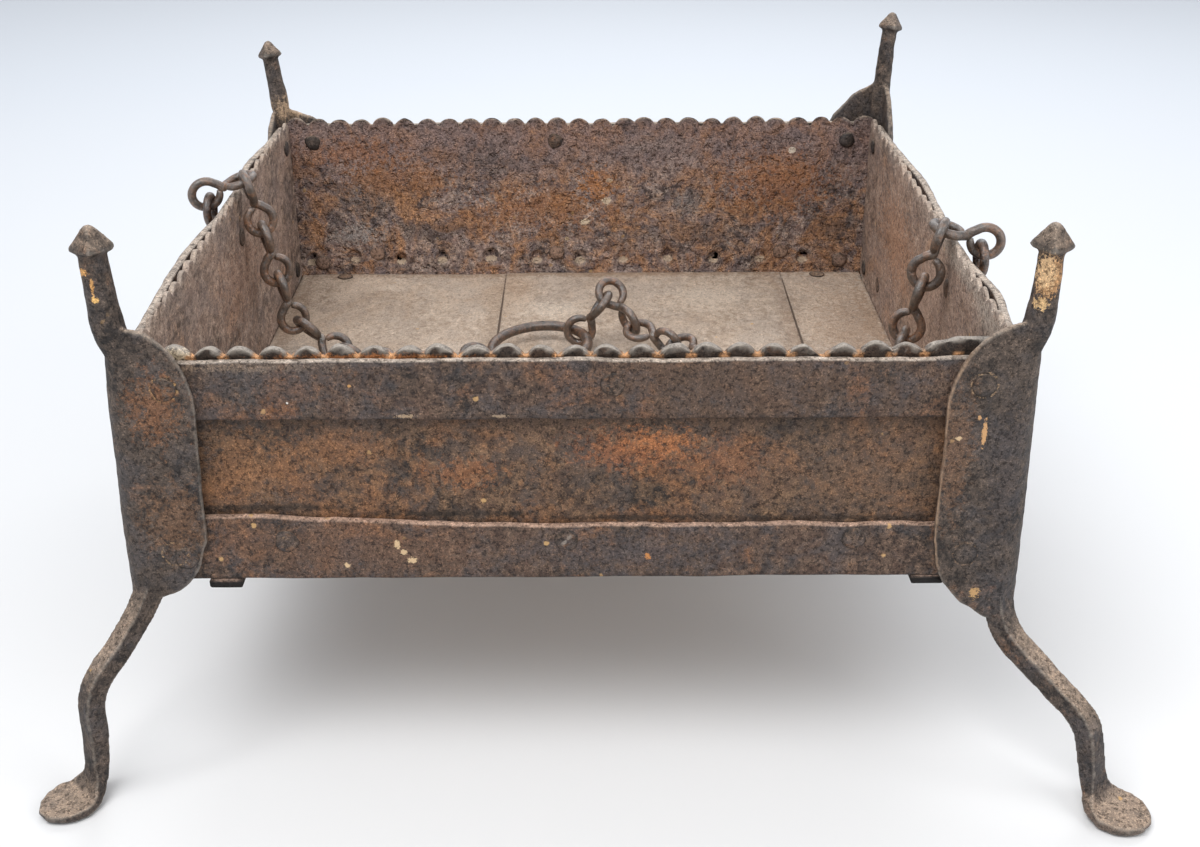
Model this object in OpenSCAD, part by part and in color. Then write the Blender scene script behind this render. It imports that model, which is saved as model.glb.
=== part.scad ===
/* [Pan] */
// Width of the pan over its bands, left to right
pan_w = 360; // [320:1:420]
// Depth of the pan over its bands, front to back
pan_d = 360; // [320:1:420]
// Height of the pan's underside above the ground
pan_z = 91; // [86:1:110]
// Height of the wall from the pan's underside to the top of its bands
wall_h = 98; // [92:1:106]
// Thickness of the four wall sheets, their ledges and the floor plates
sheet_t = 2.5; // [2:0.25:3]
// Width of the ledge that each wall sheet turns inward under the floor
ledge_w = 14; // [10:1:20]

/* [Scallops] */
// Nominal spacing of the scallops along a wall's top edge
scallop_pitch = 13; // [12:0.5:15]
// Height of the scallops above the bands' top edge
scallop_rise = 4.4; // [3:0.2:5]

/* [Bands] */
// Thickness of the flat bands round the wall
band_t = 4; // [3:0.5:5]
// Height of the top bands
top_band_h = 25; // [22:1:28]
// Height of the bottom bands
bottom_band_h = 24; // [21:1:26]
// How far a side's top band bows out between its fixings
band_bow = 4.5; // [1:0.5:6]

/* [Punched holes] */
// Radius of the punched holes low in the back wall
hole_r = 4; // [2.5:0.25:4.5]
// Spacing of the punched holes
hole_pitch = 27.7; // [24:0.1:32]
// Height of the punched holes above the pan's underside
hole_z = 15; // [13.5:0.5:16]

/* [Floor and bearers] */
// Distance from the pan's left side to the seam between the left and middle floor plates
left_plate_w = 133; // [100:1:150]
// Distance from the pan's right side to the seam between the middle and right floor plates
right_plate_w = 56; // [54:1:90]
// Width of the two flat bars under the floor
bearer_w = 14; // [12:1:18]
// Thickness of the two flat bars under the floor
bearer_t = 4; // [3:0.5:5]
// Distance from each side of the pan to the middle of the bar near it
bearer_in = 34; // [32:1:37]

/* [Corner legs] */
// Thickness of the plate that wraps each corner
plate_t = 3; // [2.5:0.5:4]
// Width of each wing of the corner plate
wing_w = 37.5; // [32:0.5:42]
// Outside radius of the corner plate's bend
corner_r = 12; // [10:1:14]
// Height of the corner plate's tip above the bands' top edge
tip_rise = 16; // [14:1:20]
// Drop of the corner plate's lower end below the pan's underside
tip_drop = 9; // [8:1:14]
// Width of the square leg bar
bar_w = 8.5; // [7.5:0.5:11]
// How far a left foot's middle stands out beyond the bands, each way
splay_left = 33; // [29:1:37]
// How far a right foot's middle stands out beyond the bands, each way
splay_right = 44; // [40:1:48]
// Height of the leg's knee
knee_z = 47; // [42:1:52]
// Diameter of the round foot
foot_d = 29; // [26:1:34]
// Thickness of the round foot
foot_t = 4.5; // [3.5:0.5:6]

/* [Finials] */
// Radius of the round post above each corner plate
post_r = 5.6; // [4.5:0.1:6]
// Length of each post above its plate: front left, front right, back left, back right
post_l = [30, 29, 22, 36]; // [18:1:44]
// How far each post leans outward, each way
post_lean = 4; // [2:0.5:6]
// Radius of the knob
knob_r = 8; // [7:0.25:9]
// Height of the knob's cone
knob_h = 9; // [7:0.5:12]

/* [Chains] */
// Radius of the chain wire
wire_r = 2.2; // [1.9:0.1:2.3]
// Radius of a link's eye, to the middle of the wire
eye_r = 7; // [6.8:0.1:7.6]
// Length of the twisted shank between a link's two eyes
shank_l = 4.4; // [4:0.2:5]
// Gap left between two linked pieces
link_gap = 0.3; // [0.2:0.05:0.4]
// Radius of the carrying ring, to the middle of its wire
ring_r = 26; // [22:1:28]
// Radius of the carrying ring's wire
ring_wire_r = 2.7; // [2.4:0.1:2.8]
// Radius of the staple's eye, to the middle of its wire
staple_eye_r = 7; // [6.5:0.1:7.5]

/* [Rivets] */
// Radius of the rivet shanks
rivet_r = 3; // [2.5:0.25:3.5]
// Radius of the rivet heads
head_r = 5; // [4.5:0.25:5.5]
// Height of the rivet heads
head_h = 1.2; // [0.8:0.1:1.6]
// Clearance of a rivet in its hole
rivet_gap = 0.1; // [0.05:0.05:0.2]

/* [Hidden] */
$fn = 48;
sides = ["front", "back", "left", "right"];
corners = ["front_left", "front_right", "back_left", "back_right"];
left_links = 8;
right_links = 12;
// The right feet stand out further, so the pan lies left of the middle of the feet
pan_shift = (splay_right - splay_left) / 2;

// Outer faces of the bands, outer and inner faces of the wall sheets
half_w = pan_w / 2;
half_d = pan_d / 2;
sheet_w = half_w - band_t;
sheet_d = half_d - band_t;
inner_w = sheet_w - sheet_t;
inner_d = sheet_d - sheet_t;
band_top = pan_z + wall_h;
bearer_x = half_w - bearer_in;
left_seam = left_plate_w - half_w;
right_seam = half_w - right_plate_w;
wall_top = band_top + scallop_rise;
floor_top = pan_z + 2 * sheet_t;
fit_gap = 0.3;
bend_r = corner_r - plate_t;

// Heights and places of the rivets
upper_rivet_z = band_top - top_band_h * 0.4;
lower_rivet_z = pan_z + bottom_band_h / 2;
band_rivet_z = pan_z + bottom_band_h * 0.75;
wing_rivet = 20;
band_rivets = [-119, -4, 114];
top_rivet_x = 15;
bearer_rivet_in = band_t + sheet_t + head_r + 1;

// Where each chain's staple stands along its side wall
staple_y_left = 27;
staple_y_right = -52;
staple_eye_out = 8;
staple_tail_t = 5;
staple_w = 12;
staple_eye_up = 2.4;
staple_foot_z = band_top + staple_eye_up - 2 * staple_eye_r - wire_r;
staple_rivet_z = staple_foot_z - head_r - 0.6;

iron = [0.23, 0.20, 0.19];
rusty = [0.36, 0.22, 0.15];
dusty = [0.42, 0.38, 0.33];

// Half-length of the wall on a side, and its band face's distance from the middle
function along(side) = side == "front" || side == "back" ? half_w : half_d;
function out_by(side) = side == "front" || side == "back" ? half_d : half_w;

// Turns a wall drawn as the front one to its own side of the pan
module on_side(side) {
    turn = side == "front" ? 0 : side == "right" ? 90 : side == "back" ? 180 : 270;
    translate([-pan_shift, 0, 0]) rotate([0, 0, turn]) translate([0, -out_by(side), 0]) children();
}

// A round hole or rod that runs inward from the face at depth 0
module inward(x, z, r, length) {
    translate([x, length, z]) rotate([90, 0, 0]) cylinder(r = r, h = length);
}

// Clearance holes for the leg rivets in both ends of a band or sheet
module wing_holes(side, z, length) {
    for (e = [-1, 1]) {
        x = e * (along(side) - wing_rivet);
        inward(x, z, rivet_r + rivet_gap, length);
    }
}

// The row of punched holes starts near one end of the back wall
hole_count = floor((2 * inner_w - 36) / hole_pitch) + 1;
function hole_x(i) = inner_w - 6 - i * hole_pitch;

// Rivets along a bottom band; the back ones sit midway between punched holes
function rivets_on(side) = side == "back"
    ? [for (k = [1, floor(hole_count / 2) - 1, hole_count - 2]) hole_x(k + 0.5)]
    : band_rivets;

// Position along a side wall, as seen from outside, of that side's staple
function staple_at(side) = side == "left" ? -staple_y_left : staple_y_right;

module fixing_holes(side, length) {
    wing_holes(side, upper_rivet_z, length);
    wing_holes(side, lower_rivet_z, length);
    for (x = rivets_on(side)) inward(x, band_rivet_z, rivet_r + rivet_gap, length);
    if (side == "front" || side == "back") {
        inward(top_rivet_x, upper_rivet_z, rivet_r + rivet_gap, length);
    } else {
        inward(staple_at(side), staple_rivet_z, rivet_r + rivet_gap, length);
    }
}

// One wall: a sheet with a scalloped top edge and a ledge turned inward under the floor
module wall_sheet(side) {
    ends = side == "front" || side == "back" ? sheet_w : inner_d;
    count = floor(2 * ends / scallop_pitch);
    pitch = 2 * ends / count;
    lobe = pitch / 2 + 0.3;
    ledge_end = side == "front" || side == "back" ? inner_w : inner_d - ledge_w - fit_gap;
    difference() {
        union() {
            translate([0, band_t + sheet_t, 0]) rotate([90, 0, 0]) linear_extrude(sheet_t) {
                translate([-ends, pan_z]) square([2 * ends, wall_top - lobe - pan_z]);
                intersection() {
                    for (i = [0:count - 1]) {
                        translate([-ends + (i + 0.5) * pitch, wall_top - lobe]) circle(lobe);
                    }
                    translate([-ends, pan_z]) square([2 * ends, wall_top - pan_z]);
                }
            }
            translate([-ledge_end, band_t, pan_z]) cube([2 * ledge_end, sheet_t + ledge_w, sheet_t]);
        }
        fixing_holes(side, band_t + sheet_t + 1);
        bearer_holes(side);
        if (side == "back") {
            for (i = [0:hole_count - 1]) inward(hole_x(i), pan_z + hole_z, hole_r, band_t + sheet_t + 1);
        }
    }
}

// Holes through the front and back ledges for the bearers' rivets
module bearer_holes(side) {
    if (side == "front" || side == "back") {
        for (e = [-1, 1]) {
            translate([e * bearer_x, bearer_rivet_in, pan_z - 1]) {
                cylinder(r = rivet_r + rivet_gap, h = 2 * sheet_t);
            }
        }
    }
}

// Outward bow of a band between fixings at a and b
function bow_at(x, a, b) = band_bow * pow(sin(180 * (x - a) / (b - a)), 2);
function band_bow_at(x, pin, reach) =
    abs(x - pin) < staple_w ? 0
    : x < pin ? bow_at(x, -reach, pin - staple_w) : bow_at(x, pin + staple_w, reach);

// Flat band along the top of a wall; the side bands stand off between their fixings
module top_band(side) {
    reach = along(side) - corner_r;
    flat_end = reach - wing_w + corner_r + 2;
    pin = staple_at(side);
    steps = 72;
    xs = [for (i = [0:steps]) -flat_end + 2 * flat_end * i / steps];
    difference() {
        translate([0, 0, band_top - top_band_h]) linear_extrude(top_band_h) {
            if (side == "front" || side == "back") {
                translate([-reach, 0]) square([2 * reach, band_t]);
            } else {
                polygon(concat(
                    [[-reach, 0]],
                    [for (x = xs) [x, -band_bow_at(x, pin, flat_end)]],
                    [[reach, 0], [reach, band_t]],
                    [for (i = [steps:-1:0]) [xs[i], band_t - band_bow_at(xs[i], pin, flat_end)]],
                    [[-reach, band_t]]));
            }
        }
        translate([0, -1, 0]) fixing_holes(side, band_t + 2);
    }
}

// Flat band along the bottom of a wall, over the row of punched holes
module bottom_band(side) {
    reach = along(side) - corner_r;
    difference() {
        translate([-reach, 0, pan_z]) cube([2 * reach, band_t, bottom_band_h]);
        translate([0, -1, 0]) fixing_holes(side, band_t + 2);
    }
}

// One plate of the floor between two places across the pan, lying on the ledges
module floor_plate(from, to) {
    difference() {
        translate([from - pan_shift, -inner_d + fit_gap, pan_z + sheet_t]) {
            cube([to - from, 2 * (inner_d - fit_gap), sheet_t]);
        }
        bearer_rivet_places() translate([0, 0, pan_z]) cylinder(r = rivet_r + rivet_gap, h = 3 * sheet_t);
    }
}

// The two flat bars that run from front to back under the pan
module bearer(e) {
    difference() {
        translate([e * bearer_x - bearer_w / 2 - pan_shift, -half_d, pan_z - bearer_t]) {
            cube([bearer_w, pan_d, bearer_t]);
        }
        bearer_rivet_places() translate([0, 0, pan_z - bearer_t - 1]) {
            cylinder(r = rivet_r + rivet_gap, h = bearer_t + 2);
        }
    }
}

module bearer_rivet_places() {
    for (x = [-1, 1]) {
        for (y = [-1, 1]) {
            translate([x * bearer_x - pan_shift, y * (half_d - bearer_rivet_in), 0]) children();
        }
    }
}

// A rivet through pieces from depth 0 to the given depth, headed at both ends
module rivet(x, z, start, depth) {
    translate([x, 0, z]) rotate([-90, 0, 0]) {
        translate([0, 0, start]) cylinder(r = rivet_r, h = depth - start);
        translate([0, 0, depth]) cylinder(r1 = head_r, r2 = rivet_r, h = head_h);
        translate([0, 0, start - head_h]) cylinder(r1 = rivet_r, r2 = head_r, h = head_h);
    }
}

// The four rivets that hold one corner leg, two through each wing
module leg_rivets(sx, sy) {
    front_side = sy < 0 ? "front" : "back";
    flank_side = sx < 0 ? "left" : "right";
    front_end = sy < 0 ? sx : -sx;
    flank_end = sx < 0 ? -sy : sy;
    for (z = [upper_rivet_z, lower_rivet_z]) {
        on_side(front_side) rivet(front_end * (half_w - wing_rivet), z, -plate_t, band_t + sheet_t);
        on_side(flank_side) rivet(flank_end * (half_d - wing_rivet), z, -plate_t, band_t + sheet_t);
    }
}

module bottom_band_rivets() {
    for (s = sides) {
        for (x = rivets_on(s)) on_side(s) rivet(x, band_rivet_z, 0, band_t + sheet_t);
    }
}

module top_band_rivets() {
    for (s = ["front", "back"]) on_side(s) rivet(top_rivet_x, upper_rivet_z, 0, band_t + sheet_t);
}

module staple_rivets() {
    for (s = ["left", "right"]) {
        on_side(s) rivet(staple_at(s), staple_rivet_z, -staple_tail_t, band_t + sheet_t);
    }
}

module bearer_rivets() {
    bearer_rivet_places() {
        translate([0, 0, pan_z - bearer_t]) cylinder(r = rivet_r, h = bearer_t + 2 * sheet_t);
        translate([0, 0, floor_top]) cylinder(r1 = head_r, r2 = rivet_r, h = head_h);
        translate([0, 0, pan_z - bearer_t - head_h]) cylinder(r1 = rivet_r, r2 = head_r, h = head_h);
    }
}

// Outline of one wing of the corner plate: distance in from the corner against height
function wing_outline(steps) = concat(
    [[0, band_top + tip_rise]],
    [for (i = [0:steps]) [
        4 + (wing_w - 4) * sin(90 * i / steps),
        band_top - top_band_h + (tip_rise + top_band_h) * cos(90 * i / steps)]],
    [for (i = [0:steps]) [
        8 + (wing_w - 10) * cos(90 * i / steps),
        pan_z + 14 - (tip_drop + 14) * sin(90 * i / steps)]],
    [[0, pan_z - tip_drop]]);

// The plate wrapped round the corner, drawn for the corner at +X, +Y of the origin
module corner_plate() {
    tall = wall_h + tip_rise + tip_drop;
    intersection() {
        translate([0, 0, pan_z - tip_drop]) linear_extrude(tall) {
            translate([-corner_r, -corner_r]) intersection() {
                difference() {
                    circle(corner_r);
                    circle(bend_r);
                }
                square(corner_r);
            }
            translate([-wing_w, -plate_t]) square([wing_w - corner_r, plate_t]);
            translate([-plate_t, -wing_w]) square([plate_t, wing_w - corner_r]);
        }
        translate([0, 1, 0]) rotate([90, 0, 0]) linear_extrude(wing_w + 2) mirror([1, 0]) {
            polygon(wing_outline(16));
        }
        translate([1, 0, 0]) rotate([90, 0, -90]) linear_extrude(wing_w + 2) {
            polygon(wing_outline(16));
        }
    }
}

// Middle line of the leg: outward distance as a share of the foot's, against height as
// a share, where 0 is the ground, 1 the knee and 2 the leg's top behind the corner plate
leg_line = [
    [0, 2], [0.01, 1.84], [0.06, 1.62], [0.3, 1.38], [0.6, 1.14],
    [0.68, 0.89], [0.7, 0.51], [0.76, 0.17], [0.78, 0.04]];
leg_top = pan_z + 6;
function leg_height(share) =
    share <= 1 ? share * knee_z : knee_z + (share - 1) * (leg_top - knee_z);
function leg_point(i, splay) = [leg_line[i][0] * splay * sqrt(2), leg_height(leg_line[i][1])];
function smooth(a, b, c, d, t) =
    b + (c - a) * t / 2 + (a - b * 2.5 + c * 2 - d * 0.5) * t * t + (b * 1.5 - c * 1.5 + (d - a) / 2) * t * t * t;
function leg_curve(splay, n) = [
    for (i = [0:len(leg_line) - 2])
        for (k = [0:n - 1])
            smooth(
                leg_point(max(i - 1, 0), splay),
                leg_point(i, splay),
                leg_point(i + 1, splay),
                leg_point(min(i + 2, len(leg_line) - 1), splay),
                k / n)];

// Points beside a line, at a distance to its left
function beside(line, off) = [
    for (i = [0:len(line) - 1])
        let (
            a = line[max(i - 1, 0)],
            b = line[min(i + 1, len(line) - 1)],
            t = (b - a) / norm(b - a))
        line[i] + off * [-t[1], t[0]]];

// The square bar and round foot, in the upright plane that runs outward from the corner
module leg_bar(splay) {
    line = leg_curve(splay, 4);
    back = beside(line, -bar_w / 2);
    front = beside(line, bar_w / 2);
    translate([-plate_t, -plate_t, 0]) rotate([0, 0, 45]) translate([0, bar_w / 2, 0]) rotate([90, 0, 0]) {
        linear_extrude(bar_w) intersection() {
            polygon(concat(front, [for (i = [len(back) - 1:-1:0]) back[i]]));
            translate([-bar_w, 1]) square([2 * splay, leg_top]);
        }
    }
    translate([splay - plate_t, splay - plate_t, 0]) cylinder(d = foot_d, h = foot_t);
}

// Round post and knob above the corner plate, leaning outward
module finial(length) {
    start = band_top + scallop_rise + 1.5;
    top = band_top + tip_rise + length;
    lean = atan(post_lean * sqrt(2) / (top - start));
    inset = plate_t + post_r / 2 + 1;
    translate([-inset, -inset, start]) rotate([0, 0, 45]) rotate([0, lean, 0]) {
        cylinder(r = post_r, h = top - start);
        translate([0, 0, top - start]) {
            cylinder(r = knob_r, h = 2);
            translate([0, 0, 2]) cylinder(r1 = knob_r, r2 = 1.2, h = knob_h);
        }
    }
}

// One corner forging: wrapped plate, leg bar with its foot, and finial
module corner_leg(sx, sy, splay, length) {
    translate([-pan_shift + sx * (half_w + plate_t), sy * (half_d + plate_t), 0]) {
        mirror([sx < 0 ? 1 : 0, 0, 0]) mirror([0, sy < 0 ? 1 : 0, 0]) difference() {
            union() {
                corner_plate();
                leg_bar(splay);
                finial(length);
            }
            for (z = [upper_rivet_z, lower_rivet_z]) {
                translate([-wing_rivet - plate_t, 1, z]) rotate([90, 0, 0]) {
                    cylinder(r = rivet_r + rivet_gap, h = plate_t + 2);
                }
                translate([-plate_t - 1, -wing_rivet - plate_t, z]) rotate([0, 90, 0]) {
                    cylinder(r = rivet_r + rivet_gap, h = plate_t + 2);
                }
            }
        }
    }
}

// Eye on a flat tail that is riveted to the outside of a side wall's top band
module staple(side) {
    eye_z = band_top + staple_eye_up - staple_eye_r;
    tail_z = staple_rivet_z - head_r;
    difference() {
        on_side(side) translate([staple_at(side), 0, 0]) {
            translate([0, -staple_eye_out, eye_z]) rotate([90, 0, 0]) {
                rotate_extrude() translate([staple_eye_r, 0]) circle(wire_r);
            }
            translate([staple_w / 2, 0, 0]) rotate([90, 0, -90]) linear_extrude(staple_w) polygon([
                [0, tail_z],
                [0, staple_foot_z + 5.4],
                [staple_eye_out + 1.5, staple_foot_z + 3.7],
                [staple_eye_out + 1.5, staple_foot_z + 0.7],
                [staple_tail_t, staple_foot_z + 0.2],
                [staple_tail_t, tail_z]]);
        }
        on_side(side) translate([0, -staple_tail_t - 6, 0]) {
            inward(staple_at(side), staple_rivet_z, rivet_r + rivet_gap, staple_tail_t + 7);
        }
    }
}

bite = 2 * wire_r + link_gap;
eye_x = eye_r + shank_l / 2;
link_pitch = 2 * (eye_x + eye_r) - bite;
// The link with no rise of its own slopes down to where its far eye stands this far
// clear of the floor
left_lift = 3.23;
right_lift = 3.57;
// How much longer thirteen links are than the pan is wide, and how that turns the last
// left link aside from the ring
crowding = 13 * link_pitch - pan_w;
left_turn = -0.8 * crowding;

// Chain layout. Each row is one link: heading round the compass from +X, rise above level,
// and the roll that its loose fit in the link before allows, in degrees.
left_rows = [
    [19, 17, 0], [0, -75, 15], [0, -78, 0], [0, -77, 0],
    [-11, undef, -14], [-30, -1, -15], [-23, 1, 2], [24 + left_turn, -1, 9]];
right_rows = [
    [171, 16, 0], [180, -75, -15], [180, -76, 0], [178, -75, 0],
    [176, undef, 20], [158, -8, 23], [137, 0, 4], [117, 2, 0],
    [119, 3, 11], [144, 7, 7], [138, 45, -5], [187, -51, -12]];

// Where the second link hangs on the first one's inner eye, as a heading
left_hook = -50;
right_hook = -128;
// How far the first link's middle lies outside and above the staple's wire
seat_by = 1.3;

function heading(az, el) = [cos(el) * cos(az), cos(el) * sin(az), sin(el)];
function unit(v) = v / norm(v);
function spin(v, axis, angle) =
    v * cos(angle) + cross(axis, v) * sin(angle) + axis * (axis * v) * (1 - cos(angle));

// Each placed link is [middle of its first eye, its direction, its first eye's normal]
function first_link(row, start) = let (
    x = heading(row[0], row[1]),
    side = [-sin(row[0]), cos(row[0]), 0])
    [start, x, spin(side, x, row[2])];
function next_link(row, prev, hook, rise) = let (
    x = heading(row[0], rise),
    normal = cross(prev[1], prev[2]),
    toward = hook == undef ? x : heading(hook, 0),
    pull = unit(toward - (toward * normal) * normal),
    seat = prev[0] + 2 * eye_x * prev[1] + eye_r * pull,
    wire = cross(normal, pull),
    flat = unit(wire - (wire * x) * x))
    [seat + (eye_r - bite) * x, x, spin(flat, x, row[2])];
function slope_to(prev, lift) =
    -asin((prev[0][2] + 2 * eye_x * prev[1][2] - floor_top - eye_r - wire_r - lift) / link_pitch);
function place_link(rows, i, start, hook, lift) =
    i == 0 ? first_link(rows[0], start)
    : let (prev = place_link(rows, i - 1, start, hook, lift))
        next_link(
            rows[i], prev, i == 1 ? hook : undef,
            rows[i][1] == undef ? slope_to(prev, lift) : rows[i][1]);

left_start = [-half_w - staple_eye_out - seat_by, staple_y_left, band_top + staple_eye_up + seat_by];
right_start = [half_w + staple_eye_out + seat_by, staple_y_right, band_top + staple_eye_up + seat_by];

// Sets a piece drawn along +X, with its first eye flat in the plane square to +Z, into place
module placed(at) {
    x = at[1];
    z = at[2];
    y = cross(z, x);
    p = at[0] - [pan_shift, 0, 0];
    multmatrix([
        [x[0], y[0], z[0], p[0]],
        [x[1], y[1], z[1], p[1]],
        [x[2], y[2], z[2], p[2]],
        [0, 0, 0, 1]]) children();
}

// A twisted figure-eight link: two round eyes a quarter turn apart on a short shank
module link() {
    rotate_extrude() translate([eye_r, 0]) circle(wire_r);
    translate([2 * eye_x, 0, 0]) rotate([90, 0, 0]) rotate_extrude() translate([eye_r, 0]) circle(wire_r);
    translate([eye_r - 1, 0, 0]) rotate([0, 90, 0]) cylinder(r = wire_r, h = shank_l + 2);
}

module left_link(i) {
    placed(place_link(left_rows, i - 1, left_start, left_hook, left_lift)) link();
}

module right_link(i) {
    placed(place_link(right_rows, i - 1, right_start, right_hook, right_lift)) link();
}

// The ring hangs from the last right link's far eye and leans down to the floor
ring_tilt = 4;
ring_heading = 34;
module carrying_ring() {
    last = place_link(right_rows, right_links - 1, right_start, right_hook, right_lift);
    through = last[0] + 2 * eye_x * last[1] - [pan_shift, 0, 1.2];
    translate(through) rotate([0, 0, ring_heading]) rotate([0, -ring_tilt, 0]) {
        translate([-ring_r, 0, 0]) rotate_extrude() translate([ring_r, 0]) circle(ring_wire_r);
    }
}

for (s = sides) {
    color(rusty) on_side(s) wall_sheet(s);
    color(iron) on_side(s) top_band(s);
    color(iron) on_side(s) bottom_band(s);
}
union() {  // floor_plate_left
    color(dusty) floor_plate(-inner_w + fit_gap, left_seam - fit_gap);
}
color(dusty) floor_plate(left_seam, right_seam);  // floor_plate_middle
union() {  // floor_plate_right
    color(dusty) floor_plate(right_seam + fit_gap, inner_w - fit_gap);
}
color(iron) bearer(-1);  // bearer_left
color(iron) bearer(1);  // bearer_right
for (i = [0:3]) {
    sx = i % 2 == 0 ? -1 : 1;
    sy = i < 2 ? -1 : 1;
    splay = sx < 0 ? splay_left : splay_right;
    union() {
        color(iron) corner_leg(sx, sy, splay, post_l[i]);
    }
    color(iron) leg_rivets(sx, sy);
}
color(iron) top_band_rivets();
color(iron) bottom_band_rivets();
color(iron) bearer_rivets();
color(iron) staple("left");  // staple_left
color(iron) staple("right");  // staple_right
color(iron) staple_rivets();
for (i = [1:left_links]) {
    color(rusty) left_link(i);
}
for (i = [1:right_links]) {
    color(rusty) right_link(i);
}
color(iron) carrying_ring();
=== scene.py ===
import math
import bpy
import numpy as np
from mathutils import Matrix, Vector


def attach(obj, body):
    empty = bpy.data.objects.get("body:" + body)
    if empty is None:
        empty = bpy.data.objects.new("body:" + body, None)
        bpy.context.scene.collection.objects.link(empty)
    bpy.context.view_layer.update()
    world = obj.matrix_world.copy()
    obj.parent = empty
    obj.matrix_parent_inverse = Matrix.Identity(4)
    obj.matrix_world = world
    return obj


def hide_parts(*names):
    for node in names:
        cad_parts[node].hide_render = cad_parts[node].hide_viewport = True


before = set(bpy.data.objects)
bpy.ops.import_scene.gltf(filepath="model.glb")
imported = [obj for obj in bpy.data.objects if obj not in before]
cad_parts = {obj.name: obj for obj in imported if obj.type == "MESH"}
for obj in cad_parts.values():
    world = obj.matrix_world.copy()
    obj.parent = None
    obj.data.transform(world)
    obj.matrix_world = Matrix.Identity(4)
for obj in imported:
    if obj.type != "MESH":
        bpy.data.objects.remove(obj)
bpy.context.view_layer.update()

PAN = "fire_pan"
# All shapes below are in millimetres with the pan's middle at x = 0, y = 0; the frame's
# origin lies this far to the right of it
SHIFT = 5.5
BAND_OUT, BAND_T, SHEET_T = 180.0, 4.0, 2.5
PAN_Z, BAND_TOP, WALL_TOP = 91.0, 189.0, 193.4
SIDES = ("front", "back", "left", "right")


# Noise
def _lattice(i, j, k, seed):
    h = (i * 73856093) ^ (j * 19349663) ^ (k * 83492791) ^ (seed * 40503)
    h = (h ^ (h >> 13)) & 0x7FFFFFFF
    h = (h * 1274126177) & 0x7FFFFFFF
    h = (h ^ (h >> 15)) & 0x7FFFFFFF
    h = (h * 1103515245 + 12345) & 0x7FFFFFFF
    return (h >> 8) / float(0x3FFFFF) - 1.0


def noise(p, size, seed=0):
    """Smooth noise in -1..1 at points p (n, 3), with features about size long."""
    q = p / size + 1000.0
    base = np.floor(q).astype(np.int64)
    f = q - base
    f = f * f * (3 - 2 * f)
    out = 0
    for a in (0, 1):
        for b in (0, 1):
            for c in (0, 1):
                w = (f[:, 0] if a else 1 - f[:, 0]) * (f[:, 1] if b else 1 - f[:, 1])
                w = w * (f[:, 2] if c else 1 - f[:, 2])
                out = out + w * _lattice(base[:, 0] + a, base[:, 1] + b, base[:, 2] + c, seed)
    return out


def forged(p, seed, hammer=0.25, grain=0.12, pits=0.0):
    """Height of a hammered, rusted surface over its nominal one."""
    h = hammer * noise(p, 17.0, seed) + 0.5 * hammer * noise(p, 8.0, seed + 1)
    h += grain * noise(p, 3.6, seed + 2) + 0.5 * grain * noise(p, 1.9, seed + 3)
    if pits:
        n = noise(p, 6.5, seed + 4) + 0.6 * noise(p, 3.1, seed + 5)
        h -= pits * np.clip(n - 0.3, 0, 1)
    return h


# Mesh helpers
def add_object(name, data):
    obj = bpy.data.objects.new(name, data)
    bpy.context.scene.collection.objects.link(obj)
    return obj


def make(name, verts, faces, mat, body, nodes, slot):
    """A smooth-shaded piece, from millimetres about the pan's middle, that takes its CAD nodes' place."""
    verts = np.asarray(verts, float) - np.array([SHIFT, 0, 0])
    mesh = bpy.data.meshes.new(name)
    mesh.from_pydata((verts * 0.001).tolist(), [], [list(map(int, f)) for f in faces])
    mesh.validate()
    mesh.update()
    mesh.polygons.foreach_set("use_smooth", [True] * len(mesh.polygons))
    mesh.materials.append(mat)
    obj = add_object(name, mesh)
    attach(obj, body)
    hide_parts(*nodes)
    return obj


def join(parts):
    verts, faces, n = [], [], 0
    for v, f in parts:
        verts.append(np.asarray(v, float))
        faces += [[i + n for i in q] for q in f]
        n += len(v)
    return np.vstack(verts), faces


def slab(mid, normal, thick, outer_h=None, inner_h=None):
    """A closed sheet about a grid of middle points (nu, nv, 3), with rounded edges."""
    nu, nv = mid.shape[:2]
    t = np.broadcast_to(thick, (nu, nv))[..., None]
    oh = 0 if outer_h is None else outer_h[..., None]
    ih = 0 if inner_h is None else inner_h[..., None]
    inset = mid.copy()
    b = 0.3 * float(np.mean(t))
    for axis in (0, 1):
        for end in (0, -1):
            row = [slice(None)] * 3
            nxt = [slice(None)] * 3
            row[axis], nxt[axis] = end, (1 if end == 0 else -2)
            d = inset[tuple(nxt)] - inset[tuple(row)]
            l = np.linalg.norm(d, axis=1, keepdims=True) + 1e-9
            inset[tuple(row)] += d / l * np.minimum(b, 0.55 * l)
    outer = inset + normal * (t / 2 + oh)
    inner = inset - normal * (t / 2 + ih)
    ring = [(i, 0) for i in range(nu)] + [(nu - 1, j) for j in range(1, nv)]
    ring += [(i, nv - 1) for i in range(nu - 2, -1, -1)] + [(0, j) for j in range(nv - 2, 0, -1)]
    ring = np.array(ring)
    rim = mid[ring[:, 0], ring[:, 1]]
    verts = np.vstack([outer.reshape(-1, 3), inner.reshape(-1, 3), rim])
    m = nu * nv
    idx = np.arange(m).reshape(nu, nv)
    a, b_, c, d = idx[:-1, :-1], idx[1:, :-1], idx[1:, 1:], idx[:-1, 1:]
    quads = np.stack([a, b_, c, d], -1).reshape(-1, 4)
    faces = [quads, (quads + m)[:, ::-1]]
    r = idx[ring[:, 0], ring[:, 1]]
    k = np.arange(len(r)) + 2 * m
    r2, k2 = np.roll(r, -1), np.roll(k, -1)
    faces.append(np.stack([r2, r, k, k2], -1))
    faces.append(np.stack([k2, k, r + m, r2 + m], -1))
    return verts, np.vstack(faces).tolist()


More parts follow.
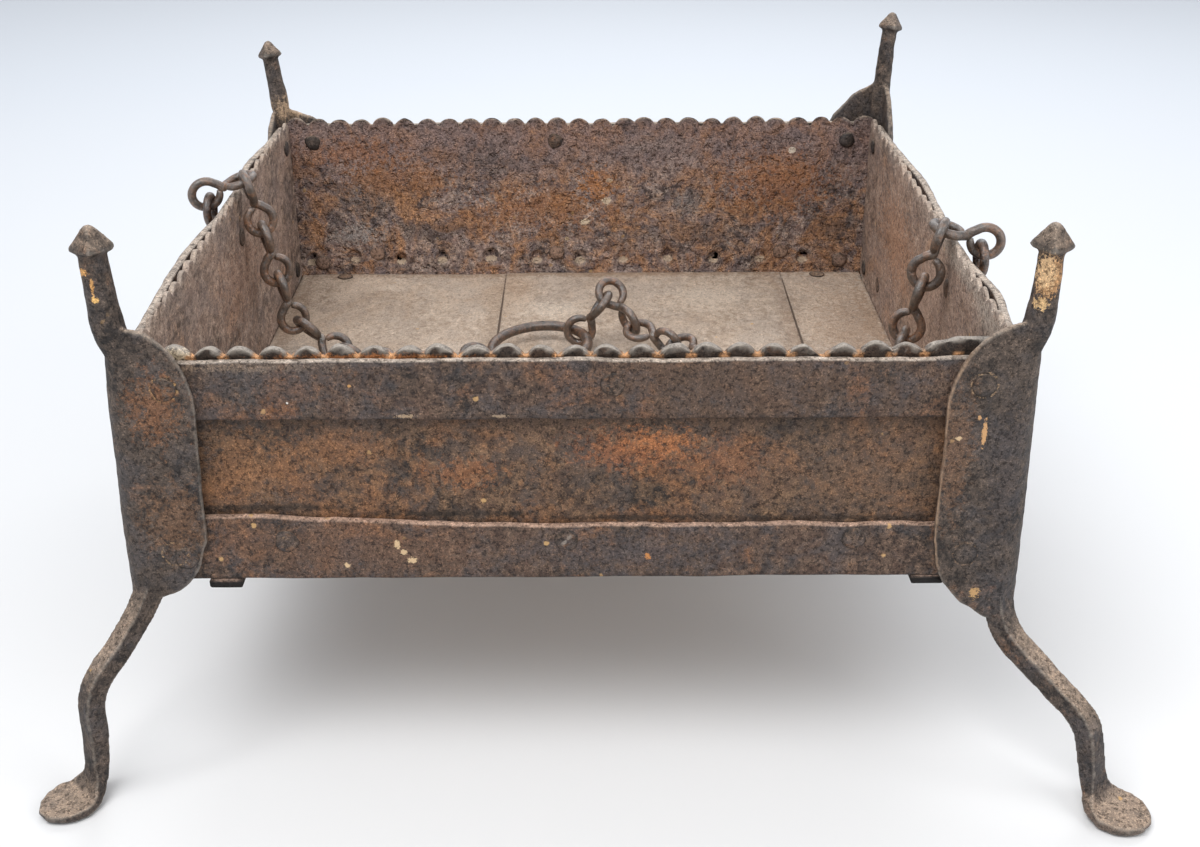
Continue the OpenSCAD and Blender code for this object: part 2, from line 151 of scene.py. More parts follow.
def sweep(path, side, up, section, closed=False, height=None):
    """A bar along path (n, 3); section is (m, 2) or (n, m, 2) in the side and up directions."""
    n = len(path)
    sec = np.asarray(section, float)
    if sec.ndim == 2:
        sec = np.broadcast_to(sec, (n,) + sec.shape)
    m = sec.shape[1]
    verts = path[:, None] + sec[..., :1] * side[:, None] + sec[..., 1:] * up[:, None]
    if height is not None:
        out = sec[..., :1] * side[:, None] + sec[..., 1:] * up[:, None]
        out = out / (np.linalg.norm(out, axis=2, keepdims=True) + 1e-9)
        verts = verts + out * height(verts.reshape(-1, 3)).reshape(n, m, 1)
    verts = verts.reshape(-1, 3)
    faces = []
    for i in range(n if closed else n - 1):
        p, q = i * m, ((i + 1) % n) * m
        for j in range(m):
            k = (j + 1) % m
            faces.append([p + j, p + k, q + k, q + j])
    if not closed:
        faces.append(list(range(m))[::-1])
        faces.append([(n - 1) * m + j for j in range(m)])
    return verts, faces


def smooth_path(points, n):
    """n points evenly along a Catmull-Rom curve through the given ones."""
    p = np.asarray(points, float)
    p = np.vstack([2 * p[0] - p[1], p, 2 * p[-1] - p[-2]])
    out = []
    for i in range(1, len(p) - 2):
        t = np.linspace(0, 1, 24, endpoint=False)[:, None]
        a, b, c, d = p[i - 1], p[i], p[i + 1], p[i + 2]
        bend = (a - 2.5 * b + 2 * c - d / 2) * t**2 + (1.5 * b - 1.5 * c + (d - a) / 2) * t**3
        out.append(b + (c - a) * t / 2 + bend)
    out = np.vstack(out + [p[-2:-1]])
    s = np.concatenate([[0], np.cumsum(np.linalg.norm(np.diff(out, axis=0), axis=1))])
    at = np.linspace(0, s[-1], n)
    return np.stack([np.interp(at, s, out[:, k]) for k in range(out.shape[1])], 1)


def tangents(path, closed=False):
    if closed:
        d = np.roll(path, -1, 0) - np.roll(path, 1, 0)
    else:
        d = np.gradient(path, axis=0)
    return d / np.linalg.norm(d, axis=1, keepdims=True)


def rounded(w, h, r, long_steps=1, high_steps=1):
    """Outline of a bar w across and h high with rounded corners, counter-clockwise."""
    def on_corner(i, turn):
        cx, cy, start = corners[i % 4]
        q = math.radians(start + turn)
        return cx + r * math.cos(q), cy + r * math.sin(q)

    x, y = w / 2 - r, h / 2 - r
    corners = ((x, y, 0), (-x, y, 90), (-x, -y, 180), (x, -y, 270))
    pts = []
    for i in range(4):
        pts += [on_corner(i, turn) for turn in (0, 45, 90)]
        (x0, y0), (x1, y1) = pts[-1], on_corner(i + 1, 0)
        steps = long_steps if i % 2 == 0 else high_steps
        pts += [(x0 + (x1 - x0) * f, y0 + (y1 - y0) * f) for f in np.arange(1, steps) / steps]
    return np.array(pts)


def circle(m):
    """The m equal steps round a circle, as angles and as points at radius 1."""
    a = np.arange(m) * 2 * math.pi / m
    return a, np.stack([np.cos(a), np.sin(a)], 1)


def same(vector, n):
    """One direction for each of n points."""
    return np.broadcast_to(vector, (n, 3))


def on_side(side, p):
    """Points given as (along, depth in from the band face, height) on a side of the pan."""
    a, d, z = p[..., 0], p[..., 1], p[..., 2]
    if side == "front":
        return np.stack([a, -BAND_OUT + d, z], -1)
    if side == "back":
        return np.stack([-a, BAND_OUT - d, z], -1)
    if side == "right":
        return np.stack([BAND_OUT - d, a, z], -1)
    return np.stack([-BAND_OUT + d, -a, z], -1)


# Materials
SOFT, SHARP = 1.6, 6.0


class Tree:
    def __init__(self, name):
        self.mat = bpy.data.materials.new(name)
        self.mat.use_nodes = True
        self.t = self.mat.node_tree
        self.bsdf = self.t.nodes["Principled BSDF"]
        self.coord = self.t.nodes.new("ShaderNodeTexCoord").outputs["Object"]
        self.geo = self.t.nodes.new("ShaderNodeNewGeometry")

    def node(self, kind, **inputs):
        n = self.t.nodes.new(kind)
        for k, v in inputs.items():
            self.put(n.inputs[k.replace("_", " ")], v)
        return n

    def put(self, socket, value):
        if isinstance(value, bpy.types.NodeSocket):
            self.t.links.new(value, socket)
        else:
            socket.default_value = value

    def noise(self, size_mm, detail=2.0, rough=0.55, distortion=0.0, offset=0.0, stretch=(1, 1, 1)):
        vec = self.coord
        if offset or stretch != (1, 1, 1):
            m = self.t.nodes.new("ShaderNodeMapping")
            m.inputs["Location"].default_value = (offset, offset * 0.7, offset * 0.3)
            m.inputs["Scale"].default_value = stretch
            self.put(m.inputs["Vector"], self.coord)
            vec = m.outputs["Vector"]
        n = self.node("ShaderNodeTexNoise", Vector=vec, Scale=1000.0 / size_mm, Detail=detail, Roughness=rough,
                      Distortion=distortion)
        return n.outputs["Fac"]

    def cells(self, size_mm):
        return self.node("ShaderNodeTexVoronoi", Vector=self.coord, Scale=1000.0 / size_mm).outputs["Distance"]

    def ramp(self, fac, stops):
        """A grey that runs straight between two (place, brightness) stops."""
        n = self.node("ShaderNodeValToRGB", Fac=fac)
        for element, (at, grey) in zip(n.color_ramp.elements, stops):
            element.position, element.color = at, (grey, grey, grey, 1)
        return n.outputs["Color"]

    def mix(self, fac, a, b, mode="MIX"):
        n = self.t.nodes.new("ShaderNodeMix")
        n.data_type, n.blend_type = "RGBA", mode
        self.put(n.inputs["Factor"], fac)
        for s, v in ((n.inputs["A"], a), (n.inputs["B"], b)):
            self.put(s, v if isinstance(v, bpy.types.NodeSocket) else (*v, 1))
        return n.outputs["Result"]

    def stain(self, col, wobble, centre, radii, tone, amount, ragged, kind, limit=None):
        """The colour with one mark on it: a filled patch, or a broken ring of the same radii."""
        away = self.t.nodes.new("ShaderNodeMapping")
        away.vector_type = "POINT"
        away.inputs["Scale"].default_value = [1000 / r for r in radii]
        away.inputs["Location"].default_value = [-c / r for c, r in zip(centre, radii)]
        self.put(away.inputs["Vector"], self.coord)
        far = self.t.nodes.new("ShaderNodeVectorMath")
        far.operation = "LENGTH"
        self.put(far.inputs[0], away.outputs["Vector"])
        if kind == "ring":
            d = self.math("ABSOLUTE", self.sub(far.outputs["Value"], 1.0))
            mask = self.mul(self.sub(0.12, d), 14.0, clamp=True)
            mask = self.mul(mask, self.ramp(wobble, [(0.52, 0), (0.6, 1)]))
        else:
            d = self.mul(self.sub(wobble, 0.5), 2.2 * ragged)
            d = self.math("ADD", far.outputs["Value"], d)
            mask = self.mul(self.sub(1.0, d), SOFT if kind == "patch" else SHARP, clamp=True)
        if limit is not None:
            mask = self.mul(mask, limit)
        return self.mix(self.mul(mask, amount), col, rgb(*tone))

    def math(self, op, a, b=0.0, clamp=False):
        n = self.t.nodes.new("ShaderNodeMath")
        n.operation, n.use_clamp = op, clamp
        self.put(n.inputs[0], a)
        self.put(n.inputs[1], b)
        return n.outputs["Value"]

    def mul(self, a, b, clamp=False):
        return self.math("MULTIPLY", a, b, clamp)

    def sub(self, a, b, clamp=False):
        return self.math("SUBTRACT", a, b, clamp)

    def axis(self, socket, k):
        n = self.node("ShaderNodeSeparateXYZ", Vector=socket)
        return n.outputs["XYZ"[k]]


def rgb(r, g, b):
    """Linear colour from an 8-bit screen one."""
    return tuple(((c / 255 + 0.055) / 1.055) ** 2.4 if c > 10 else c / 255 / 12.92 for c in (r, g, b))


def iron(name, dark, mid, light, rust=0.3, rust_a=(112, 74, 50), rust_b=(158, 106, 66), cool=(84, 80, 82),
         cool_amount=0.4, dust=0.5, dust_tone=(176, 156, 136), edge=0.5, spots=0.2, bump=0.5, relief_mm=0.9,
         rough=0.66, gloss=0.28, patch_mm=38.0, pit=0.5, grain=1.0, along=1.0, layers=(), stains=(),
         dust_low=None, notches=None):
    """Old wrought iron: mottled dark oxide with rust, bluish-grey patches that are partly cool oxide and partly
    painted sheen, dust on upward faces, worn edges that are also lightened as a painted highlight, painted shade
    in the hollows and specks of old paintwork.

    layers holds (z_mm, blur_mm, tone, amount): a broken tone that sets in above the height z_mm.
    stains holds (centre_mm, radii_mm, tone, amount, ragged, kind): a soft patch, a sharp-edged one (mostly of old
    paintwork, and also the painted shadow on the bearers' front ends), a fleck over the grain, a ring, or a tone on
    the worn and highlit edges only. along below 1 draws the pattern out from front to back. dust_low is (z_mm,
    tone), dust of another tone below that height. notches is (first_mm, pitch_mm, low_mm, high_mm, tone), dirt
    that sits in the notches of a scalloped edge.
    """
    t = Tree(name)
    s = (1, along, 1)
    cloud = t.noise(patch_mm, 4, 0.65, 0.5, stretch=s)
    mottle = t.noise(5.0, 4, 0.75, offset=4.4, stretch=s)
    fine = t.noise(1.7, 3, 0.8, stretch=s)
    grit = t.noise(0.75, 2, 0.8, offset=3.1, stretch=s)
    ragged = t.noise(2.6, 4, 0.8, offset=5.3)
    crumb = t.noise(1.3, 4, 0.8, offset=8.3)
    base = t.mix(t.ramp(cloud, [(0.38, 0), (0.62, 1)]), rgb(*dark), rgb(*mid))
    base = t.mix(t.ramp(mottle, [(0.42, 0), (0.66, 0.75)]), base, rgb(*light))
    # bluish-grey patches, partly the iron's cool oxide tone and partly painted sheen
    cool_tone_and_sheen = t.ramp(t.noise(patch_mm * 0.6, 4, 0.7, 0.4, offset=12.6, stretch=s), [(0.46, 0), (0.6, 1)])
    base = t.mix(t.mul(cool_tone_and_sheen, cool_amount), base, rgb(*cool))
    rust_mask = t.noise(patch_mm * 1.25, 5, 0.66, 0.8, offset=7.7, stretch=s)
    rust_mask = t.math("ADD", rust_mask, t.mul(t.sub(mottle, 0.5), 0.45))
    lo = 0.64 - 0.32 * rust
    rust_fac = t.ramp(rust_mask, [(lo, 0), (lo + 0.16, 1)])
    blend = t.ramp(t.noise(3.4, 4, 0.75, offset=2.2, stretch=s), [(0.38, 0), (0.62, 1)])
    rust_col = t.mix(blend, rgb(*rust_a), rgb(*rust_b))
    col = t.mix(t.mul(rust_fac, min(1.0, 0.35 + 0.6 * rust)), base, rust_col)
    height = t.axis(t.coord, 2)
    broken = t.ramp(mottle, [(0.36, 0.3), (0.6, 1)])
    for z, blur, tone, amount in layers:
        at = t.math("DIVIDE", t.sub(height, (z - blur) / 1000), 2 * blur / 1000, clamp=True)
        col = t.mix(t.mul(t.mul(at, broken), amount), col, rgb(*tone))
    for stain in stains:
        if stain[5] in ("patch", "sharp_edged"):
            col = t.stain(col, ragged if stain[5] == "patch" else crumb, *stain)
    up = t.axis(t.geo.outputs["Normal"], 2)
    dust_fac = t.mul(t.ramp(up, [(0.35, 0), (0.9, 1)]), t.ramp(mottle, [(0.3, 0.3), (0.6, 1)]))
    dust_col = rgb(*dust_tone)
    if dust_low:
        above = t.mul(t.sub(height, dust_low[0] / 1000), 700.0, clamp=True)
        dust_col = t.mix(above, rgb(*dust_low[1]), dust_col)
    col = t.mix(t.mul(dust_fac, dust), col, dust_col)
    if notches:
        first, pitch, low, high, tone = notches
        near = t.sub(t.mul(t.axis(t.coord, 0), 1000.0), first)
        near = t.mul(t.sub(2.6, t.math("PINGPONG", near, pitch / 2)), 0.7, clamp=True)
        tall = t.mul(height, 1000.0)
        near = t.mul(near, t.sub(high, tall, clamp=True))
        near = t.mul(near, t.sub(tall, low, clamp=True))
        near = t.mul(near, t.ramp(ragged, [(0.36, 0.2), (0.52, 0.9)]))
        col = t.mix(near, col, rgb(*tone))
    col = t.mix(t.ramp(fine, [(0.38, grain), (0.5, 0)]), col, t.mix(1.0, col, (0.3, 0.28, 0.27), "MULTIPLY"))
    col = t.mix(t.ramp(grit, [(0.52, 0), (0.66, 0.9 * grain)]), col, t.mix(1.0, col, (2.1, 2.04, 1.96), "MULTIPLY"))
    # worn edges, partly real wear and partly a painted highlight: rims and ridges of high pointiness lightened to a
    # pale grey
    worn_and_highlit_edge = t.ramp(t.geo.outputs["Pointiness"], [(0.52, 0), (0.60, 1)])
    worn_and_highlit_edge = t.mul(worn_and_highlit_edge, t.ramp(ragged, [(0.32, 0.35), (0.55, 1)]))
    col = t.mix(t.mul(worn_and_highlit_edge, edge), col, rgb(184, 174, 162))
    # painted shade in the hollows: concave spots of low pointiness darkened towards a deep tone
    hollow_shade = t.ramp(t.geo.outputs["Pointiness"], [(0.40, 0.6), (0.48, 0)])
    col = t.mix(hollow_shade, col, tuple(0.35 * c for c in rgb(*dark)))
    for stain in stains:
        if stain[5] == "edge":
            col = t.stain(col, ragged, *stain, limit=worn_and_highlit_edge)
        elif stain[5] in ("ring", "fleck"):
            col = t.stain(col, crumb, *stain)
    if spots:
        speck = t.mul(t.sub(t.noise(2.0, 3, 0.8, offset=6.0), 0.5), 0.16)
        speck = t.ramp(t.math("ADD", t.cells(15.0), speck), [(0.04 + 0.05 * spots, 1), (0.07 + 0.05 * spots, 0)])
        speck = t.mul(speck, t.ramp(t.noise(46.0, 1, offset=9.0), [(0.54 - 0.1 * spots, 0), (0.6, 1)]))
        col = t.mix(t.mul(speck, 0.8), col, rgb(204, 164, 112))
    t.put(t.bsdf.inputs["Base Color"], col)
    t.put(t.bsdf.inputs["Roughness"], t.math("ADD", rough - 0.16, t.mul(mottle, 0.32), clamp=True))
    t.bsdf.inputs["Specular IOR Level"].default_value = gloss
    pitted = t.ramp(t.noise(4.2, 3, 0.6, offset=1.3), [(0.3, 0), (0.46, 1)])
    relief = t.math("ADD", t.mul(fine, 0.6), t.mul(grit, 0.4))
    relief = t.math("ADD", relief, t.mul(pitted, pit))
    b = t.node("ShaderNodeBump", Strength=bump, Distance=relief_mm / 1000, Height=relief)
    t.put(t.bsdf.inputs["Normal"], b.outputs["Normal"])
    return t.mat


# Marks that the photograph shows, in the frame's millimetres
CREAM, OCHRE = (218, 188, 148), (196, 148, 92)


def marks(y, deep, kind, *rows):
    """Marks at one depth, each given as (x, z, half width, half height, tone, amount, ragged edge)."""
    return tuple(((x, y, z), (wide, deep, high), *look, kind) for x, z, wide, high, *look in rows)


INNER_HEADS = marks(0, 172, "sharp_edged", (-177.5, 140, 7, 70, (104, 88, 78), 0.75, 0.3),
                    (166.5, 140, 7, 70, (116, 96, 84), 0.75, 0.3))
LEG_MARKS = (
    marks(-187, 8.5, "sharp_edged",
          (173.4, 224.5, 7, 9.5, (164, 126, 88), 0.95, 1.1), (172.2, 226, 4.6, 7.4, (208, 176, 136), 0.75, 1.6))
    + marks(-186, 7, "sharp_edged", (171.8, 213.5, 3, 2.4, (204, 170, 124), 0.9, 1.5))
    + marks(-187, 6, "sharp_edged",
          (-186.2, 222.5, 0.9, 3.2, OCHRE, 0.95, 1.1), (-185.9, 217.2, 1.5, 1.6, (220, 176, 110), 0.95, 1.1),
          (-189.2, 228, 2.4, 1.6, OCHRE, 0.9, 1.4))
    + marks(-183, 6, "patch",
          (-170, 171, 12, 17, (130, 88, 58), 0.6, 1.8), (-168, 120, 14, 20, (120, 88, 64), 0.5, 1.8),
          (146, 150, 8, 36, (112, 84, 64), 0.6, 1.8))
    # painted shade with a bluish sheen where the front-right plate turns round its corner
    + marks(-183, 9, "patch", (168, 140, 10, 40, (66, 62, 64), 0.5, 1.6))
    + marks(-220, 26, "patch", (214, 4, 26, 9, (112, 98, 88), 0.7, 1.2))
    + marks(171, 7, "sharp_edged", (0, 104, 230, 12, (140, 116, 102), 0.9, 0.3))
    + INNER_HEADS
    + marks(178, 10, "patch", (-178, 199, 12, 9, (196, 168, 138), 0.7, 1.4))
    + marks(-183, 5, "fleck",
          (156.6, 158, 1, 6, (206, 160, 112), 0.9, 1.5), (154, 165, 0.8, 1, (206, 160, 112), 0.85, 1.1),
          (146.6, 156, 1.6, 1, CREAM, 0.8, 1.5), (160, 84, 2.2, 2.6, (200, 160, 108), 0.8, 1.7))
    + marks(-183, 9, "ring",
          (-165.5, 179, 5.3, 5.3, (196, 156, 108), 0.8, 0.4), (-170, 105, 5.3, 5.3, (184, 150, 112), 0.7, 0.4),
          (154.5, 179, 5.3, 5.3, (180, 150, 118), 0.7, 0.4), (154.5, 103, 5.3, 5.3, (150, 122, 98), 0.6, 0.4))
    + marks(-183, 8, "edge", (142, 150, 16, 62, (206, 160, 118), 0.95, 0.3))
)
BAND_MARKS = (
    marks(-180, 6, "patch",
          (-130, 187, 34, 2.4, (176, 150, 124), 0.35, 1.9), (60, 178, 60, 22, (92, 72, 58), 0.5, 1.8),
          (-100, 104, 70, 16, (108, 82, 66), 0.5, 1.8), (-120, 180, 30, 16, (78, 74, 74), 0.5, 1.8),
          (20, 103, 50, 10, (76, 72, 74), 0.5, 1.8))
    # painted shadow: the bearers' front ends, in the shade under the pan, made nearly black
    + marks(-181, 8, "sharp_edged", (0, 87.4, 300, 3, (20, 17, 16), 0.95, 0.2))
    + marks(-180, 4, "fleck",
          (-100.6, 97.6, 1.3, 1.2, CREAM, 0.9, 1.2), (-79.3, 107.3, 1.2, 2, CREAM, 0.85, 1.5),
          (-76.7, 103.6, 1.3, 1.3, CREAM, 0.85, 1.5), (-73.4, 99.8, 1.9, 1.5, CREAM, 0.85, 1.5),
          (-93.7, 178.9, 0.7, 0.7, OCHRE, 0.9, 0.5), (-118.6, 171.7, 0.5, 0.5, (226, 222, 214), 0.9, 0.5),
          (-72.6, 165.6, 3.6, 0.8, (200, 172, 140), 0.6, 2.2), (-35, 165.4, 3, 0.7, (190, 166, 138), 0.55, 2.2),
          (24, 101, 1.2, 1.6, (200, 134, 76), 0.85, 1.3))
)
FRONT_MARKS = (
    marks(-176, 6, "patch",
          (16, 148, 24, 10, (154, 96, 60), 0.5, 2.4), (30, 152, 16, 6, (176, 114, 70), 0.45, 2.6),
          (-50, 138, 16, 7, (146, 96, 62), 0.5, 2.6), (58, 142, 18, 11, (132, 88, 60), 0.5, 2.2),
          (-140, 140, 24, 20, (130, 94, 66), 0.5, 2), (-100, 150, 30, 9, (134, 94, 64), 0.45, 2),
          (112, 136, 46, 22, (104, 82, 66), 0.6, 2), (-4, 136, 10, 6, (70, 62, 58), 0.6, 1.8),
          (-86, 189.6, 40, 1.8, (168, 108, 64), 0.75, 1.8))
    + marks(-176, 6, "sharp_edged", (-161, 191, 6, 3, (204, 186, 158), 0.8, 1.2))
    + marks(-176, 5, "patch",
          (-135, 122.6, 42, 1.9, (48, 41, 36), 0.8, 1.4), (-55, 119.4, 46, 1.8, (48, 41, 36), 0.8, 1.4),
          (25, 117.2, 46, 1.6, (48, 41, 36), 0.8, 1.4), (105, 116.6, 46, 1.4, (52, 44, 38), 0.7, 1.4))
)
BACK_MARKS = (
    marks(174, 8, "patch",
          (-142, 121, 19, 8, (176, 168, 164), 0.8, 2), (-137, 146, 20, 15, (116, 110, 108), 0.6, 1.8),
          (62, 140, 14, 8, (150, 142, 138), 0.6, 2.4), (-60, 168, 26, 9, (112, 100, 98), 0.6, 2.2),
          (40, 176, 30, 7, (150, 134, 128), 0.5, 2.4), (150, 124, 20, 9, (92, 80, 76), 0.6, 2.2),
          (-90, 124, 26, 7, (98, 86, 82), 0.6, 2.2), (-118, 156, 34, 13, (170, 118, 78), 0.6, 2.4),
          (-28, 137, 50, 16, (176, 120, 76), 0.6, 2.4), (4, 152, 12, 12, (196, 132, 78), 0.65, 2.4),
          (112, 152, 36, 20, (176, 118, 76), 0.65, 2.4), (-140, 172, 30, 10, (170, 114, 74), 0.55, 2.4),
          (60, 120, 40, 12, (104, 92, 88), 0.5, 1.8))
    + marks(174, 6, "fleck",
          (10, 141.8, 2.9, 2.5, (250, 226, 196), 1, 0.8), (-3, 128.6, 3, 2, (250, 226, 196), 1, 1.1))
    + marks(174, 5, "fleck",
          (12, 155, 2, 1.6, (214, 190, 166), 0.9, 1.4), (24.6, 150.5, 0.9, 0.9, (226, 198, 160), 0.9, 0.7),
          (-14, 118, 1.4, 1.2, (226, 198, 160), 0.9, 0.9))
    + marks(174, 6, "fleck", (122, 173, 2.4, 2.2, (250, 234, 214), 1, 0.6))
)
SIDE_MARKS = (
    ((168, -60, 188), (10, 80, 7), (190, 182, 172), 0.6, 2, "patch"),
    ((168, -130, 184), (10, 40, 9), (178, 170, 160), 0.5, 2, "patch"),
    ((168, 0, 140), (12, 190, 60), (186, 152, 130), 0.3, 1.8, "patch"),
    ((168, 70, 150), (10, 60, 26), (166, 120, 88), 0.5, 2, "patch"),
    ((-179, 20, 150), (10, 60, 26), (142, 106, 84), 0.4, 2, "patch"),
    ((-179, -110, 130), (10, 40, 26), (92, 86, 84), 0.4, 2, "patch"),
)
FLOOR_MARKS = (
    ((-121, 149, 96), (12, 6, 4), (222, 208, 192), 0.6, 2, "patch"),
    ((0, 170, 96), (200, 6, 4), (140, 114, 92), 0.8, 1.6, "patch"),
    ((-172, 100, 96), (7, 90, 4), (150, 126, 106), 0.7, 1.6, "patch"),
    ((162, 90, 96), (7, 90, 4), (140, 114, 92), 0.7, 1.6, "patch"),
    ((150, 60, 96), (28, 120, 4), (160, 132, 110), 0.6, 2, "patch"),
    ((-56, 40, 96), (9, 150, 5), (152, 130, 110), 0.65, 1.8, "patch"),
    ((114, 40, 96), (8, 150, 5), (140, 116, 98), 0.6, 1.8, "patch"),
    ((40, 60, 96), (44, 60, 4), (172, 152, 134), 0.3, 2.4, "patch"),
    ((-110, 60, 96), (40, 60, 4), (160, 143, 128), 0.65, 2.6, "patch"),
    ((20, -20, 96), (80, 50, 4), (150, 130, 112), 0.35, 2.4, "patch"),
    ((70, 130, 96), (26, 22, 4), (218, 202, 184), 0.6, 2.6, "patch"),
    ((-20, 110, 96), (22, 14, 4), (220, 206, 190), 0.6, 2.6, "patch"),
    ((-52, 0, 96), (0.9, 190, 5), (86, 72, 62), 0.85, 0.5, "fleck"),
    ((118, 0, 96), (0.9, 190, 5), (86, 72, 62), 0.85, 0.5, "fleck"),
)
RIVET_MARKS = (
    marks(176, 12, "sharp_edged", (0, 108, 220, 14, (146, 120, 104), 0.9, 0.4))
    + INNER_HEADS
    + marks(0, 260, "sharp_edged", (0, 98.4, 260, 3.6, (186, 166, 146), 0.9, 0.2))
)
# The back sheet's punched holes along it: place, height and radius
HOLE_END, HOLE_PITCH = 167.5, 27.7
hole_rng = np.random.default_rng(5)
HOLES = [(HOLE_END - k * HOLE_PITCH + hole_rng.normal(0, 1.0), PAN_Z + 15 + hole_rng.normal(0, 0.6),
          3.7 + hole_rng.uniform(-0.5, 0.4)) for k in range(12)]
HOLE_MARKS = tuple(((-a - SHIFT, 175.5, z - 2.3), (0.95 * r, 6, 1.9), (226, 202, 176), 1.0, 0.8, "fleck")
                   for a, z, r in HOLES)

BAND = iron("band_iron", (42, 37, 35), (80, 62, 53), (122, 101, 86), rust=0.3, dust=0.85, dust_tone=(202, 188, 174),
            spots=0.3, cool=(74, 70, 71), cool_amount=0.65, patch_mm=30, dust_low=(150, (196, 164, 144)),
            stains=BAND_MARKS)
LEG = iron("leg_iron", (36, 33, 33), (62, 54, 49), (108, 94, 84), rust=0.16, dust=0.72, dust_tone=(176, 155, 136),
           spots=0.2, cool=(76, 74, 77), cool_amount=0.4, edge=0.8, stains=LEG_MARKS)
FRONT = iron("front_sheet_iron", (48, 41, 37), (92, 71, 58), (136, 108, 84), rust=0.46, rust_a=(110, 76, 54),
             rust_b=(150, 104, 68), dust=0.6, spots=0.25, cool=(72, 66, 64), cool_amount=0.6, patch_mm=26, edge=0.95,
             dust_tone=(176, 168, 160), dust_low=(190.4, (196, 152, 112)),
             notches=(-181.5, 13.037, 186.6, 191.2, (200, 150, 106)),
             # layers: from about 162 mm up the sheet is nearly black, a painted shadow that shows as a strip just below
             # the top band's lower edge; the layer from 158 mm darkens the sheet towards that band, and the top one
             # gives the lobes their dark tone
             layers=((158, 7, (66, 56, 50), 0.7), (163.2, 0.9, (38, 33, 30), 0.85), (193.4, 1.6, (50, 44, 41), 0.85)),
             stains=FRONT_MARKS)
BACK = iron("back_sheet_iron", (78, 67, 65), (166, 140, 130), (236, 214, 200), rust=0.62, rust_a=(168, 120, 84),
            rust_b=(216, 158, 106), dust=0.9, dust_tone=(208, 186, 164), spots=0.3, cool=(136, 123, 124),
            cool_amount=0.6, bump=1.1, relief_mm=3.4, pit=0.9, patch_mm=17, grain=0.95,
            layers=((160, 14, (146, 124, 121), 0.8), (190, 3, (84, 77, 75), 0.8)), stains=BACK_MARKS + HOLE_MARKS)
SIDE = iron("side_sheet_iron", (90, 77, 70), (148, 126, 114), (192, 171, 156), rust=0.3, rust_a=(140, 102, 76),
            rust_b=(176, 134, 100), dust=0.35, spots=0.12, cool=(124, 114, 112), cool_amount=0.4, grain=0.8, along=0.65,
            patch_mm=30, layers=((188, 5, (168, 158, 148), 0.4),), stains=SIDE_MARKS)
FLOOR = iron("floor_iron", (152, 132, 114), (193, 173, 154), (222, 205, 188), rust=0.34, rust_a=(158, 128, 102),
             rust_b=(184, 154, 126), dust=0.25, dust_tone=(200, 182, 164), spots=0.12, cool=(168, 156, 146),
             cool_amount=0.5, edge=0.3, patch_mm=40, grain=0.42, bump=0.45, relief_mm=3.0, along=0.7,
             stains=FLOOR_MARKS)
CHAIN = iron("chain_iron", (28, 19, 14), (64, 44, 33), (124, 92, 70), rust=0.4, dust=0.0, spots=0.0, edge=0.4,
             cool=(56, 46, 42), cool_amount=0.3, rough=0.33, gloss=0.85, patch_mm=12, grain=0.9)
RIVET = iron("rivet_iron", (44, 38, 35), (82, 67, 58), (124, 104, 90), rust=0.3, dust=0.4, spots=0.2, edge=0.4,
             patch_mm=12, stains=RIVET_MARKS)


# Wall sheets
rng = np.random.default_rng(11)
LOBE_PITCH = 13
LOBE_STEPS = 12
LIP_Z = 184.0
LEDGE_LENGTH = 14


